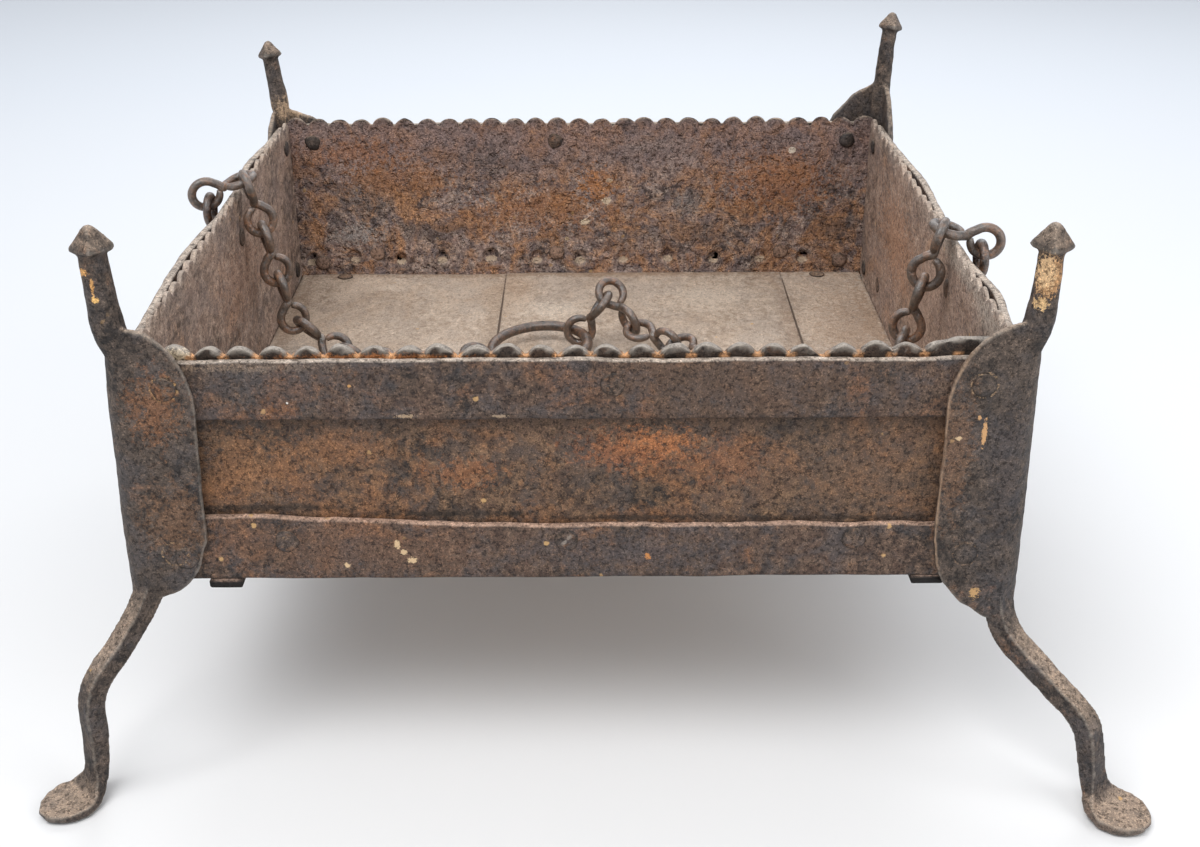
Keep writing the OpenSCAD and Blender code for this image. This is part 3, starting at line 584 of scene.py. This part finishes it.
def wall_sheet(side, mat, hammer, grain, pits_in, pits_out):
    """A sheet with its scalloped top edge and, at the bottom, the ledge turned in under the floor."""
    long_side = side in ("front", "back")
    ends = BAND_OUT - BAND_T if long_side else BAND_OUT - BAND_T - SHEET_T
    count = int(2 * ends // LOBE_PITCH)
    pitch = 2 * ends / count
    lobe = pitch / 2 + 0.3
    a = np.linspace(-ends, ends, count * LOBE_STEPS + 1)
    centre = (np.arange(count) + 0.5) * pitch - ends + rng.normal(0, 0.45, count)
    tall = rng.uniform(-0.9, 0.3, count)
    wide = rng.uniform(0.93, 1.04, count)
    if side == "front":
        centre = centre + np.interp(centre, [60, 93, 94, 130], [0, -1.6, 1.6, 0])
    dx = (a[:, None] - centre[None]) / (lobe * wide[None])
    if side == "back":
        arcs = np.where(abs(dx) < 1, lobe * (np.sqrt(np.clip(1 - dx**2, 0, 1)) - 1) + tall[None], -9)
    else:
        lean = 0.09 * np.sin(2.3 * np.arange(count))
        arcs = tall[None] - 4.3 * np.abs(dx + lean * np.clip(1 - dx**2, 0, 1)) ** 1.95
    top = WALL_TOP + np.maximum(arcs.max(1), -5.4)
    if side == "front":
        plain = np.clip((a - 137) / 4, 0, 1)
        top = top * (1 - plain) + plain * (WALL_TOP + np.interp(a, [137, 150, 160, 176], [-1.0, 1.8, 2.0, 0.4]))
        top = top + 0.9
    top = top + 0.25 * noise(np.stack([a, a * 0, a * 0], 1), 3.0, 5)
    d_mid = BAND_T + SHEET_T / 2
    r = 2.2
    low_z = PAN_Z + SHEET_T / 2
    ledge = [(d, low_z) for d in np.linspace(d_mid + LEDGE_LENGTH, d_mid + r, 5)]
    bend = [(d_mid + r - r * math.sin(q), low_z + r - r * math.cos(q)) for q in np.radians([30, 60])]
    z_flat = np.concatenate([np.arange(96.0, 117.0, 1.25), np.arange(117.5, 183, 2.3)])
    z_top = np.array([0.0, 0.28, 0.52, 0.72, 0.87, 0.96, 1.0])
    rows = ledge + bend + [(d_mid, z) for z in z_flat] + [(d_mid, LIP_Z + (top - LIP_Z) * f) for f in z_top]
    grid = np.stack([np.stack([a, a * 0 + d, a * 0 + z], 1) for d, z in rows], 1)
    nrm = np.zeros_like(grid)
    nrm[:, :5] = (0, 0, -1)
    nrm[:, 5] = (0, -0.5, -0.866)
    nrm[:, 6] = (0, -0.866, -0.5)
    nrm[:, 7:] = (0, -1, 0)
    height = grid[..., 2]
    if not long_side:
        lim = ends - LEDGE_LENGTH - 0.5
        grid[..., 0] = np.where(height < 94, np.clip(grid[..., 0], -lim, lim), grid[..., 0])
    flat = grid.reshape(-1, 3)
    seed = 20 + 20 * SIDES.index(side)
    shp = grid.shape[:2]
    up = (height > 96).astype(float)
    hi = forged(flat, seed, hammer, grain, pits_in).reshape(shp) * up
    ho = forged(flat + 300, seed + 9, hammer, grain, pits_out).reshape(shp) * up
    lip = np.clip((height - 186.5) / 5, 0, 1)
    if side == "front":
        ho = ho + lip * 1.0
        hi = hi + lip * 0.3
        rough = noise(flat, 2.6, seed + 3).reshape(shp) * lip
        ho = ho + 0.55 * rough
        hi = hi + 0.3 * rough
    below = np.clip(1 - (top[:, None] - height) / 1.8, 0, 1) ** 2
    ho = ho - (1.0 if side == "back" else 0.45) * below
    hi = hi - (0.7 if side == "back" else 0.3) * below
    if side == "back":
        for x, zc, r_hole in HOLES:
            rr = np.hypot(grid[..., 0] - x, height - zc) / r_hole
            hi = hi - 2.3 * np.clip(3.2 * (1.2 - rr), 0, 1) ** 0.7 * up + 0.6 * np.exp(-((rr - 1.5) / 0.3) ** 2) * up
    # below its top edge the band leaves no room outside the sheet
    ho = np.minimum(ho, np.where(height < BAND_TOP + 0.2, 0.0, 1.5))
    v, f = slab(grid, nrm, SHEET_T, ho, hi)
    make("sheet_" + side, on_side(side, v), f, mat, PAN, ["wall_sheet_" + side], "wall_sheet")


wall_sheet("front", FRONT, 0.3, 0.14, 0.25, 0.2)
wall_sheet("back", BACK, 0.95, 0.6, 1.2, 0.3)
wall_sheet("left", SIDE, 0.45, 0.16, 0.35, 0.2)
wall_sheet("right", SIDE, 0.45, 0.16, 0.35, 0.2)


# Bands
def staple_at(side):
    return -27.0 if side == "left" else -52.0


def bow(a, pin, reach):
    """How far a side's top band stands off between its corners and the staple's rivet at pin."""
    def arch(x, lo, hi):
        return 3.6 * np.sin(np.pi * np.clip((x - lo) / (hi - lo), 0, 1)) ** 2
    out = np.where(a < pin - 12, arch(a, -reach, pin - 12), 0)
    return np.where(a > pin + 12, arch(a, pin + 12, reach), out)


def band(side, top_one):
    reach, n = 168.0, 220
    h = 25.0 if top_one else 24.0
    z0 = BAND_TOP - h if top_one else PAN_Z
    a = np.linspace(-reach, reach, n)
    bowed = top_one and side in ("left", "right")
    off = bow(a, staple_at(side), 146.0) if bowed else np.zeros(n)
    sec = np.repeat(rounded(BAND_T, h, 0.8, 2, 12)[None], n, 0)
    seed = SIDES.index(side) * 7 + (100 if top_one else 150)
    edge = np.stack([a, a * 0, a * 0], 1)
    rise = 0.5 * noise(edge, 22, seed) + 0.25 * noise(edge, 7, seed + 1)
    if not top_one and side == "front":
        rise = rise + np.interp(a, [-168, -20, 168], [6.4, 0.3, 0.2])
    high = sec[..., 1] > 0
    sec[..., 1] += np.where(high, rise[:, None] * (sec[..., 1] / (h / 2)), 0.3 * noise(edge, 18, seed + 2)[:, None])
    path = on_side(side, np.stack([a, BAND_T / 2 - off, np.full(n, z0 + h / 2)], 1))
    outward = same(on_side(side, np.array([0, -1.0, 0])) - on_side(side, np.zeros(3)), n)
    v, f = sweep(path, outward, same((0, 0, 1.0), n), sec)
    skin = forged(v, seed + 3, 0.2, 0.12, 0.12).reshape(n, -1)
    v = v + (outward[:, None] * np.where(sec[..., 0] > 1.2, skin, 0)[..., None]).reshape(-1, 3)
    name = ("top_band_" if top_one else "bottom_band_") + side
    make("forged_" + name, v, f, BAND, PAN, [name], "band")


for s in SIDES:
    band(s, True)
    band(s, False)

# Floor and bearers
FLOOR_END, BEARER_X = 173.2, 146.0
PLATES = (("left", -FLOOR_END, -46.0), ("middle", -47.0, 124.0), ("right", 123.0, FLOOR_END))
for k, (part, x0, x1) in enumerate(PLATES):
    nx, ny = int((x1 - x0) / 2.6) + 2, 130
    gx, gy = np.meshgrid(np.linspace(x0, x1, nx), np.linspace(-FLOOR_END, FLOOR_END, ny), indexing="ij")
    sag = 0.5 * noise(np.stack([gx, gy, gx * 0], -1).reshape(-1, 3), 60, 7 + k).reshape(nx, ny)
    z = 94.75 + sag * np.clip(np.minimum(gx - x0, x1 - gx) / 20, 0, 1)
    z = z - 0.45 + (0.45 if part == "middle" else 0.0)
    grid = np.stack([gx, gy, z], -1)
    nrm = np.broadcast_to((0, 0, 1.0), grid.shape)
    top = forged(grid.reshape(-1, 3), 200 + k, 0.35, 0.16, 0.3).reshape(nx, ny)
    v, f = slab(grid, nrm, 2.4, top, None)
    make("floor_" + part, v, f, FLOOR, PAN, ["floor_plate_" + part], "floor")

for word, sx in (("left", -1), ("right", 1)):
    n = 90
    path = np.stack([np.full(n, sx * BEARER_X), np.linspace(-BAND_OUT, BAND_OUT, n), np.full(n, 89.0)], 1)
    v, f = sweep(path, same((1.0, 0, 0), n), same((0, 0, 1.0), n), rounded(13.6, 3.8, 0.9, 5, 2),
                 height=lambda p: forged(p, 230, 0.12, 0.06))
    make(word + "_bearer_bar", v, f, BAND, PAN, ["bearer_" + word], "bearer")


# Corner legs
def ellipse_drop(w, a0, semi):
    q = np.clip((w - a0) / semi, 0, 1)
    return np.sqrt(np.clip(1 - q**2.15, 0, 1))


def corner_leg(name, sx, sy, splay, post, lean, thick, seed):
    """One forging: wrapped plate, post with its knob, and the leg bar with its foot."""
    parts = []
    r_mid, wing = 10.5, 36.6
    arc = r_mid * math.pi / 2
    reach = arc / 2 + wing - 12
    t = np.linspace(arc / 2, reach, 14)[1:]
    t = np.concatenate([np.linspace(-reach, -arc / 2, 14)[:-1], np.linspace(-arc / 2, arc / 2, 13), t])
    nv = 52
    grid = np.zeros((len(t), nv, 3))
    nrm = np.zeros_like(grid)
    proud = np.zeros((len(t), nv))
    for i, ti in enumerate(t):
        if abs(ti) <= arc / 2:
            q = math.radians(45) - ti / r_mid
            nx, ny = math.cos(q), math.sin(q)
            x, y = 171 + r_mid * nx, 171 + r_mid * ny
            w = 12 - r_mid * min(nx, ny)
        elif ti > 0:
            x, y, nx, ny = 181.5, 171 - (ti - arc / 2), 1.0, 0.0
            w = 183 - y
        else:
            x, y, nx, ny = 171 - (-ti - arc / 2), 181.5, 0.0, 1.0
            w = 183 - x
        hi = 165 + 40.0 * ellipse_drop(w, 6, wing - 5.4)
        lo = 110 - 28.0 * ellipse_drop(w, 6, wing - 7.6)
        if name == "back_left":
            hi = np.interp(w, [6, 14, 22, 30, wing], [199, 197, 193.5, 187, 165])
        if name == "back_right":
            hi = np.interp(w, [6, 20.4, 32.5, wing], [213.5, 204.8, 190.7, 165])
        if name == "front_right":
            lo = np.interp(w, [6, 12.8, 18.4, 22.6, 27, 32, 34.5, wing],
                           [69, 71.2, 76.0, 78.4, 83.5, 89.5, 96, 110])
        wob = 0.6 * noise(np.array([[ti, 0, seed]]), 7, 3)[0]
        z = np.linspace(lo + wob, hi + wob, nv)
        side_wing = np.clip((ti + arc / 2) / arc, 0, 1)
        if name == "front_left":
            move = np.interp(z, [82, 110, 175, 195], [4.6, 4.4, 2.4, 0.6])
            x = x + move * (1 - side_wing)
            proud[i] = move * side_wing
        if name == "front_right":
            proud[i] = np.interp(z, [75, 110, 175, 195], [3.2, 2.6, 1.2, 0.5]) * side_wing
        grid[i, :, 0], grid[i, :, 1], grid[i, :, 2] = x, y, z
        nrm[i] = (nx, ny, 0)
    parts.append(slab(grid, nrm, 3.0, proud))
    across = np.array([1, -1, 0]) / math.sqrt(2)
    # post with its flared root in the bend of the plate
    top_z = 205 + post
    path = smooth_path([(176.8, 184), (177.4, 192), (178.4, 200), (179.4, 208), (179.8 + lean * 0.5, top_z - 10),
                        (179.8 + lean, top_z)], 30)[:, [0, 0, 1]]
    tan = tangents(path)
    up = np.cross(tan, across)
    rr = np.interp(path[:, 2], [184, 192, 200, 206, 214, top_z], [3.2, 4.8, 6.2, 6.3, 5.7, 5.3]) * thick
    ang, ring = circle(16)
    square = 1 + 0.05 * np.cos(4 * ang + 0.6)
    parts.append(sweep(path, same(across, len(path)), up, (ring * square[:, None])[None] * rr[:, None, None]))
    # knob: a collar that swells to a low cone with four hammered facets
    head = path[-1]
    axis = tan[-1]
    prof = [(-1.4, 4.6), (0.0, 6.4), (0.5, 8.1), (1.6, 8.6), (2.9, 7.9), (5.0, 6.1), (7.2, 4.3), (9.2, 2.9),
            (10.6, 1.2)]
    size = 1.0 if sy < 0 else 0.92
    kp = np.array([head + axis * h * size for h, _ in prof])
    kr = np.array([q for _, q in prof]) * size
    ang, ring = circle(30)
    wedge = math.pi / 4
    flat = math.cos(wedge) / np.cos((ang + math.radians(35)) % (2 * wedge) - wedge)
    facet = 0.32 + 0.72 * flat + 0.03 * np.cos(2 * ang + seed)
    ks = (ring * facet[:, None])[None] * kr[:, None, None]
    parts.append(sweep(kp, same(across, len(kp)), same(np.cross(axis, across), len(kp)), ks))
    # leg bar that ends in a flattened foot
    s2 = splay * math.sqrt(2)
    c0 = math.sqrt(2) * 180
    line = [(-5.6, 114), (-5.2, 104), (-4.3, 95), (-2.2, 87), (0.06 * s2, 78.5), (0.30 * s2, 66), (0.58 * s2, 54.5),
            (0.675 * s2, 43), (0.69 * s2, 26), (0.735 * s2, 11), (0.86 * s2, 3.6)]
    if name == "front_right":
        line = [(-5.6, 108), (-5.2, 97), (-4.4, 86), (-3.0, 76), (0.0, 68), (5.2, 61.4), (16.5, 54.6), (28.9, 47.3),
                (37.6, 42.6), (43.2, 37.0), (46.0, 29.6), (48.2, 20), (50.4, 12), (54.2, 5.2)]
    line += [(s2 - 2, 2.9), (s2 + 7, 2.6), (s2 + 13.8, 2.5)]
    pl = smooth_path(line, 110)
    length = np.concatenate([[0], np.cumsum(np.linalg.norm(np.diff(pl, axis=0), axis=1))])
    path = np.stack([(c0 + pl[:, 0]) / math.sqrt(2)] * 2 + [pl[:, 1]], 1)
    tan = tangents(path)
    up = np.cross(across, tan)
    back = length[-1] - length
    width = np.interp(back, [0, 1.5, 4, 8, 15, 22, 28, 35, 50, 80, 120, 150],
                      [7, 11, 17, 22, 24, 19, 12, 9.2, 8.6, 8.8, 9.6, 10.5])
    high = np.interp(back, [0, 2, 8, 20, 28, 36, 44, 80, 120, 150],
                     [2.2, 3.2, 4.0, 4.6, 6.0, 7.8, 8.4, 8.8, 9.4, 9.6])
    width = width * np.interp(length, [0, 16, 30], [0.6, 0.85, 1.0]) * (1.1 if name == "front_right" else 1.0)
    high = high * np.interp(length, [0, 16, 30], [0.45, 0.7, 1.0])
    secs = np.array([rounded(w_, h_, min(0.6, 0.42 * min(w_, h_)), 2, 2) for w_, h_ in zip(width, high)])
    parts.append(sweep(path, same(across, len(path)), up, secs))
    v, f = join(parts)
    v = v * np.array([sx, sy, 1.0])
    if sx * sy < 0:
        f = [q[::-1] for q in f]
    obj = make("forged_leg_" + name, v, f, LEG, PAN, ["corner_leg_" + name], "leg")
    remesh(obj, 0.0009, 2)
    hammer(obj, seed, 0.24, 0.16, 0.14, floor=True)


def remesh(obj, voxel, smooths):
    """Weld the parts of a forging into one skin and ease its joints."""
    m = obj.modifiers.new("weld", "REMESH")
    m.mode, m.voxel_size, m.adaptivity = "VOXEL", voxel, 0.0
    s = obj.modifiers.new("ease", "SMOOTH")
    s.factor, s.iterations = 0.5, smooths
    dg = bpy.context.evaluated_depsgraph_get()
    new = bpy.data.meshes.new_from_object(obj.evaluated_get(dg))
    obj.modifiers.clear()
    old = obj.data
    obj.data = new
    bpy.data.meshes.remove(old)
    new.polygons.foreach_set("use_smooth", [True] * len(new.polygons))


def hammer(obj, seed, big, grain, pits, floor=False):
    """Move a remeshed forging's skin in and out; with floor, no point goes below the ground."""
    me = obj.data
    n = len(me.vertices)
    co = np.zeros(n * 3)
    me.vertices.foreach_get("co", co)
    nr = np.zeros(n * 3)
    me.vertices.foreach_get("normal", nr)
    co, nr = co.reshape(-1, 3) * 1000, nr.reshape(-1, 3)
    co = co + nr * forged(co, seed, big, grain, pits)[:, None]
    if floor:
        co[:, 2] = np.maximum(co[:, 2], 0.05)
    me.vertices.foreach_set("co", (co / 1000).ravel())
    me.update()


CORNERS = (("front_left", -1, -1), ("front_right", 1, -1), ("back_left", -1, 1), ("back_right", 1, 1))
# splay of the foot, height of the post, its lean and its thickness
LEG_SIZES = ((33.0, 30.0, 0.5, 1.0), (44.0, 29.0, 0.4, 0.92), (33.0, 23.0, 2.6, 0.88), (44.0, 37.5, 2.6, 0.88))
for i, (corner, sizes) in enumerate(zip(CORNERS, LEG_SIZES)):
    corner_leg(*corner, *sizes, 300 + 11 * i)


# Rivets
def rivet(side, a, z, start, depth, seed, dome=1.0):
    """A hammered rivet: a nearly flush head outside and a low uneven one inside."""
    prof = [(start - 0.32, 0.6), (start - 0.34, 2.6), (start - 0.42, 4.2), (start - 0.2, 4.9), (start + 0.3, 4.9),
            (start + 0.4, 2.9), (depth - 0.4, 2.9), (depth - 0.3, 4.4), (depth + 0.15, 4.7),
            (depth + 0.8 * dome, 3.9), (depth + 1.2 * dome, 2.2), (depth + 1.25 * dome, 0.6)]
    ang, ring = circle(20)
    wob = 1 + 0.05 * np.cos(3 * ang + seed) + 0.04 * np.cos(5 * ang + 2 * seed)
    path = np.array([(a, d, z) for d, _ in prof])
    sec = (ring * wob[:, None])[None] * np.array([q for _, q in prof])[:, None, None]
    v, f = sweep(path, same((1.0, 0, 0), len(path)), same((0, 0, 1.0), len(path)), sec)
    return on_side(side, v), f


UPPER_Z, LOWER_Z, BAND_Z = BAND_TOP - 10.0, PAN_Z + 12.0, PAN_Z + 18.0
for name, sx, sy in CORNERS:
    face, flank = ("front" if sy < 0 else "back"), ("left" if sx < 0 else "right")
    fe = sx if sy < 0 else -sx
    ke = -sy if sx < 0 else sy
    group = []
    for k, z in enumerate((UPPER_Z, LOWER_Z)):
        group.append(rivet(face, fe * 160.0, z, -3.0, 6.5, k + sx))
        group.append(rivet(flank, ke * 160.0, z, -3.0, 6.5, k + sy + 5))
    make("hammered_leg_rivets_" + name, *join(group), LEG, PAN, ["leg_rivets_" + name], "rivet")

spots_on = {s: (-119.0, -4.0, 114.0) for s in SIDES}
# at the back they sit between the holes
spots_on["back"] = tuple(HOLE_END - (k + 0.5) * HOLE_PITCH for k in (1, 5, 10))
group = [rivet(s, a, BAND_Z, 0.0, 6.5, a, 0.5) for s in SIDES for a in spots_on[s]]
make("hammered_bottom_band_rivets", *join(group), RIVET, PAN, ["bottom_band_rivets"], "rivet")
group = [rivet(s, 15.0, UPPER_Z, 0.0, 6.5, 3) for s in ("front", "back")]
make("hammered_top_band_rivets", *join(group), RIVET, PAN, ["top_band_rivets"], "rivet")
STAPLE_TOP = BAND_TOP + 2.4
STAPLE_FOOT = STAPLE_TOP - 14.0 - 2.2
group = [rivet(s, staple_at(s), STAPLE_FOOT - 5.6, -5.0, 6.5, 7) for s in ("left", "right")]
make("hammered_staple_rivets", *join(group), RIVET, PAN, ["staple_rivets"], "rivet")

group = []
for sx in (-1, 1):
    for sy in (-1, 1):
        v, f = rivet("front", 0.0, 0.0, 0.0, 9.0, sx + 2 * sy, 0.4)
        v = v - on_side("front", np.zeros(3))
        v = np.stack([v[:, 0] + sx * BEARER_X, v[:, 2] + sy * 167.5, 87.0 + v[:, 1]], 1)
        group.append((v, [q[::-1] for q in f]))
make("hammered_bearer_rivets", *join(group), RIVET, PAN, ["bearer_rivets"], "rivet")


# Staples
def staple(side):
    """A round eye on a flat tail that a rivet holds outside the wall."""
    along, across, middle, wire = staple_at(side), -8.0, STAPLE_TOP - 7.0, 2.2
    q = np.radians(np.arange(0, 360, 7.5))
    path = np.stack([along + 7.0 * np.cos(q), np.full(len(q), across), middle + 7.0 * np.sin(q)], 1)
    out = same((0, 1.0, 0), len(path))
    ring = sweep(path, out, np.cross(tangents(path, True), out), wire * circle(12)[1], closed=True)
    n = 24
    foot = STAPLE_FOOT
    tail = smooth_path([(-1.6, foot - 10.6), (-2.4, foot - 6.0), (-2.6, foot - 1.0), (-4.6, foot + 1.6),
                        (-7.9, foot + 2.2)], n)
    path = np.column_stack([np.full(n, along), tail])
    wide = same((1.0, 0, 0), n)
    w = np.interp(np.arange(n), [0, 3, 12, 19, 23], [8.5, 11.8, 11.4, 8.6, 5.0])
    h = np.interp(np.arange(n), [0, 3, 12, 19, 23], [2.6, 3.6, 4.0, 3.8, 3.6])
    sec = np.array([rounded(a, b, min(1.2, 0.4 * b), 2, 2) for a, b in zip(w, h)])
    bar = sweep(path, wide, np.cross(wide, tangents(path)), sec)
    v, f = join([ring, bar])
    obj = make("forged_staple_" + side, on_side(side, v), f, CHAIN, PAN, ["staple_" + side], "staple")
    remesh(obj, 0.0006, 3)
    hammer(obj, 500, 0.12, 0.06, 0.05)


staple("left")
staple("right")

# Chains: each link's direction round and up, and its turn about itself, in degrees
LEFT_ROWS = ((19, 17, 0), (0, -75, 15), (0, -78, 0), (0, -77, 0), (-11, -36, -14), (-30, -1, -15), (-23, 1, 2),
             (24, -1, 9))
RIGHT_ROWS = ((171, 16, 0), (180, -75, -15), (180, -76, 0), (178, -75, 0), (176, -36, 20), (158, -8, 23), (137, 0, 4),
              (117, 2, 0), (119, 3, 11), (144, 7, 7), (138, 45, -5), (187, -51, -12))
WIRE, EYE, HALF = 2.2, 7.0, 9.2
BITE = 2 * WIRE + 0.3


def heading(az, el):
    az, el = math.radians(az), math.radians(el)
    return np.array([math.cos(el) * math.cos(az), math.cos(el) * math.sin(az), math.sin(el)])


def unit(v):
    return v / np.linalg.norm(v)


def spin(v, axis, angle):
    c, s = math.cos(math.radians(angle)), math.sin(math.radians(angle))
    return v * c + np.cross(axis, v) * s + axis * (axis @ v) * (1 - c)


def lay(rows, start, hook):
    """Each link as (middle of its first eye, its direction, its first eye's normal)."""
    out = []
    for i, (az, el, roll) in enumerate(rows):
        x = heading(az, el)
        if i == 0:
            a = math.radians(az)
            out.append((start, x, spin(np.array([-math.sin(a), math.cos(a), 0]), x, roll)))
            continue
        c, px, pn = out[-1]
        normal = np.cross(px, pn)
        toward = heading(hook, 0) if i == 1 else x
        pull = unit(toward - (toward @ normal) * normal)
        seat = c + 2 * HALF * px + EYE * pull
        wire = np.cross(normal, pull)
        out.append((seat + (EYE - BITE) * x, x, spin(unit(wire - (wire @ x) * x), x, roll)))
    return out


def link_mesh(seed, across):
    """A wire curled into two eyes a quarter turn apart, each end closing on the shank."""
    r = np.random.default_rng(seed)
    start = r.uniform(5, 10)
    flip = 1 if r.random() < 0.5 else -1
    pts = []
    round_eye = np.radians(np.linspace(start, 322, 27))
    for q in round_eye:
        pts.append((EYE * math.cos(q), across * flip * EYE * math.sin(q), 0))
    pts += [(EYE + 0.6, -flip * 2.2, 0), (HALF, 0, 0), (2 * HALF - EYE - 0.6, 0, flip * 2.2)]
    for q in round_eye[::-1]:
        pts.append((2 * HALF - EYE * math.cos(q), 0, -across * flip * EYE * math.sin(q)))
    path = smooth_path(pts, 96)
    tan = tangents(path)
    ref = np.array([0.3, 0.5, 0.8])
    side = np.zeros_like(path)
    s = unit(np.cross(tan[0], ref))
    for i, t_ in enumerate(tan):
        s = unit(s - (s @ t_) * t_)
        side[i] = s
    up = np.cross(tan, side)
    at = np.linspace(0, 1, 96)
    rad = WIRE * np.interp(at, [0, 0.02, 0.07, 0.45, 0.5, 0.55, 0.93, 0.98, 1],
                           [0.62, 0.84, 0.97, 1.0, 1.06, 1.0, 0.97, 0.84, 0.62])
    sec = circle(12)[1][None] * rad[:, None, None]
    return sweep(path, side, up, sec, height=lambda p: forged(p + seed * 37.0, seed, 0.1, 0.07, 0.05))


def place(v, at):
    c, x, z = at
    y = np.cross(z, x)
    return c + v[:, :1] * x + v[:, 1:2] * y + v[:, 2:] * z


LEFT = lay(LEFT_ROWS, np.array([-189.3, 27.0, BAND_TOP + 3.7]), -50)
RIGHT = lay(RIGHT_ROWS, np.array([189.3, -52.0, BAND_TOP + 3.7]), -128)
for word, links in (("left", LEFT), ("right", RIGHT)):
    for i, at in enumerate(links):
        v, f = link_mesh(600 + 20 * len(word) + i, 0.97 if i > 3 or word == "right" else 0.95)
        name = f"{word}_link_{i + 1}"
        make("curled_" + name, place(v, at), f, CHAIN, name, [name], "chain")

# Carrying ring, with a lap where its ends are welded
RING_R, RING_WIRE, RING_AZ, RING_TILT = 26.0, 2.7, 34, 4
c, x, z = RIGHT[-1]
out = heading(RING_AZ, RING_TILT)
side = np.array([-math.sin(math.radians(RING_AZ)), math.cos(math.radians(RING_AZ)), 0])
q = np.radians(np.arange(0, 360, 3.0))
mid = c + 2 * HALF * x - np.array([0, 0, 1.2]) - RING_R * out
path = mid + RING_R * (np.cos(q)[:, None] * out + np.sin(q)[:, None] * side)
nn = same(np.cross(out, side), len(path))
lap = 1 + 0.16 * np.exp(-(((q - 3.6) / 0.13) ** 2))
sec = (RING_WIRE * circle(14)[1])[None] * lap[:, None, None]
v, f = sweep(path, nn, np.cross(tangents(path, True), nn), sec, closed=True,
             height=lambda p: forged(p, 700, 0.14, 0.07, 0.06))
make("forged_carrying_ring", v, f, CHAIN, "carrying_ring", ["carrying_ring"], "ring")

# Studio floor, paler and warmer in front: painted light falloff, its colour grading to a cooler, darker tone towards
# the back
FLOOR_HALF = 6.0
floor_mesh = bpy.data.meshes.new("studio_floor")
floor_mesh.from_pydata([(x * FLOOR_HALF, y * FLOOR_HALF, 0) for x, y in ((-1, -1), (1, -1), (1, 1), (-1, 1))], [],
                       [[0, 1, 2, 3]])
floor_obj = add_object("studio_floor", floor_mesh)
floor_obj.location.z = -0.0001
floor_mat = bpy.data.materials.new("studio_floor")
floor_mat.use_nodes = True
ft = floor_mat.node_tree
place_y = ft.nodes.new("ShaderNodeSeparateXYZ")
ft.links.new(ft.nodes.new("ShaderNodeTexCoord").outputs["Object"], place_y.inputs["Vector"])
from_front = ft.nodes.new("ShaderNodeMapRange")
from_front.inputs["From Min"].default_value = -0.5
from_front.inputs["From Max"].default_value = 1.1
ft.links.new(place_y.outputs["Y"], from_front.inputs["Value"])
tones = ft.nodes.new("ShaderNodeValToRGB")
tones.color_ramp.elements.new(0.5)
for element, (at, tone) in zip(tones.color_ramp.elements, (
        (0.0, (0.83, 0.82, 0.81, 1)), (0.32, (0.765, 0.775, 0.79, 1)), (1.0, (0.72, 0.76, 0.82, 1)))):
    element.position, element.color = at, tone
ft.links.new(from_front.outputs["Result"], tones.inputs["Fac"])
ft.links.new(tones.outputs["Color"], ft.nodes["Principled BSDF"].inputs["Base Color"])
ft.nodes["Principled BSDF"].inputs["Roughness"].default_value = 0.55
floor_mesh.materials.append(floor_mat)

# World: soft light, and a pale backdrop for what sees it directly
world = bpy.data.worlds.new("studio")
bpy.context.scene.world = world
world.use_nodes = True
wt = world.node_tree
light = wt.nodes["Background"]
backdrop = wt.nodes.new("ShaderNodeBackground")
for shade, tone, strength in ((light, (0.95, 0.97, 1.0, 1), 0.55), (backdrop, (0.86, 0.895, 0.945, 1), 1.0)):
    shade.inputs["Color"].default_value = tone
    shade.inputs["Strength"].default_value = strength
rays = wt.nodes.new("ShaderNodeLightPath")
seen = rays.outputs["Is Camera Ray"]
for kind in ("Is Glossy Ray", "Is Transmission Ray"):
    either = wt.nodes.new("ShaderNodeMath")
    either.operation = "MAXIMUM"
    wt.links.new(seen, either.inputs[0])
    wt.links.new(rays.outputs[kind], either.inputs[1])
    seen = either.outputs[0]
mixer = wt.nodes.new("ShaderNodeMixShader")
wt.links.new(seen, mixer.inputs["Fac"])
wt.links.new(light.outputs[0], mixer.inputs[1])
wt.links.new(backdrop.outputs[0], mixer.inputs[2])
wt.links.new(mixer.outputs[0], wt.nodes["World Output"].inputs["Surface"])


# Lamps and camera
def lamp(name, power, size, at, aim=(0, 0, 0.12)):
    data = bpy.data.lights.new(name, "AREA")
    data.energy, data.shape, data.size, data.size_y = power, "RECTANGLE", size[0], size[1]
    obj = add_object(name, data)
    obj.location = at
    obj.rotation_euler = (Vector(aim) - Vector(at)).to_track_quat("-Z", "Y").to_euler()


lamp("key", 20, (1.3, 1.0), (-0.5, -0.7, 1.5))
lamp("fill", 9, (1.0, 1.0), (1.3, -0.8, 0.9))
lamp("back", 12, (1.6, 0.8), (0.2, 1.3, 1.3))

# The photograph's focal length and width in its pixels, from the fit of the pan's edges
FOCAL_PX, PHOTO_PX = 1529.91, 1200.0
cam_data = bpy.data.cameras.new("camera")
cam_data.sensor_width = 36.0
cam_data.lens = FOCAL_PX * cam_data.sensor_width / PHOTO_PX
cam_data.clip_start = 0.01
cam = add_object("camera", cam_data)
cam.location = ((7.69 - SHIFT) / 1000, -0.72552, 0.42587)
pitch, yaw, roll = math.radians(25.81), math.radians(0.23), math.radians(-0.22)
ahead = Vector((math.sin(yaw) * math.cos(pitch), math.cos(yaw) * math.cos(pitch), -math.sin(pitch)))
level = Vector((math.cos(yaw), -math.sin(yaw), 0))
upright = level.cross(ahead)
right = math.cos(roll) * level + math.sin(roll) * upright
above = -math.sin(roll) * level + math.cos(roll) * upright
cam.rotation_euler = Matrix((right, above, -ahead)).transposed().to_euler()
bpy.context.scene.camera = cam
bpy.context.scene.view_settings.view_transform = "Standard"
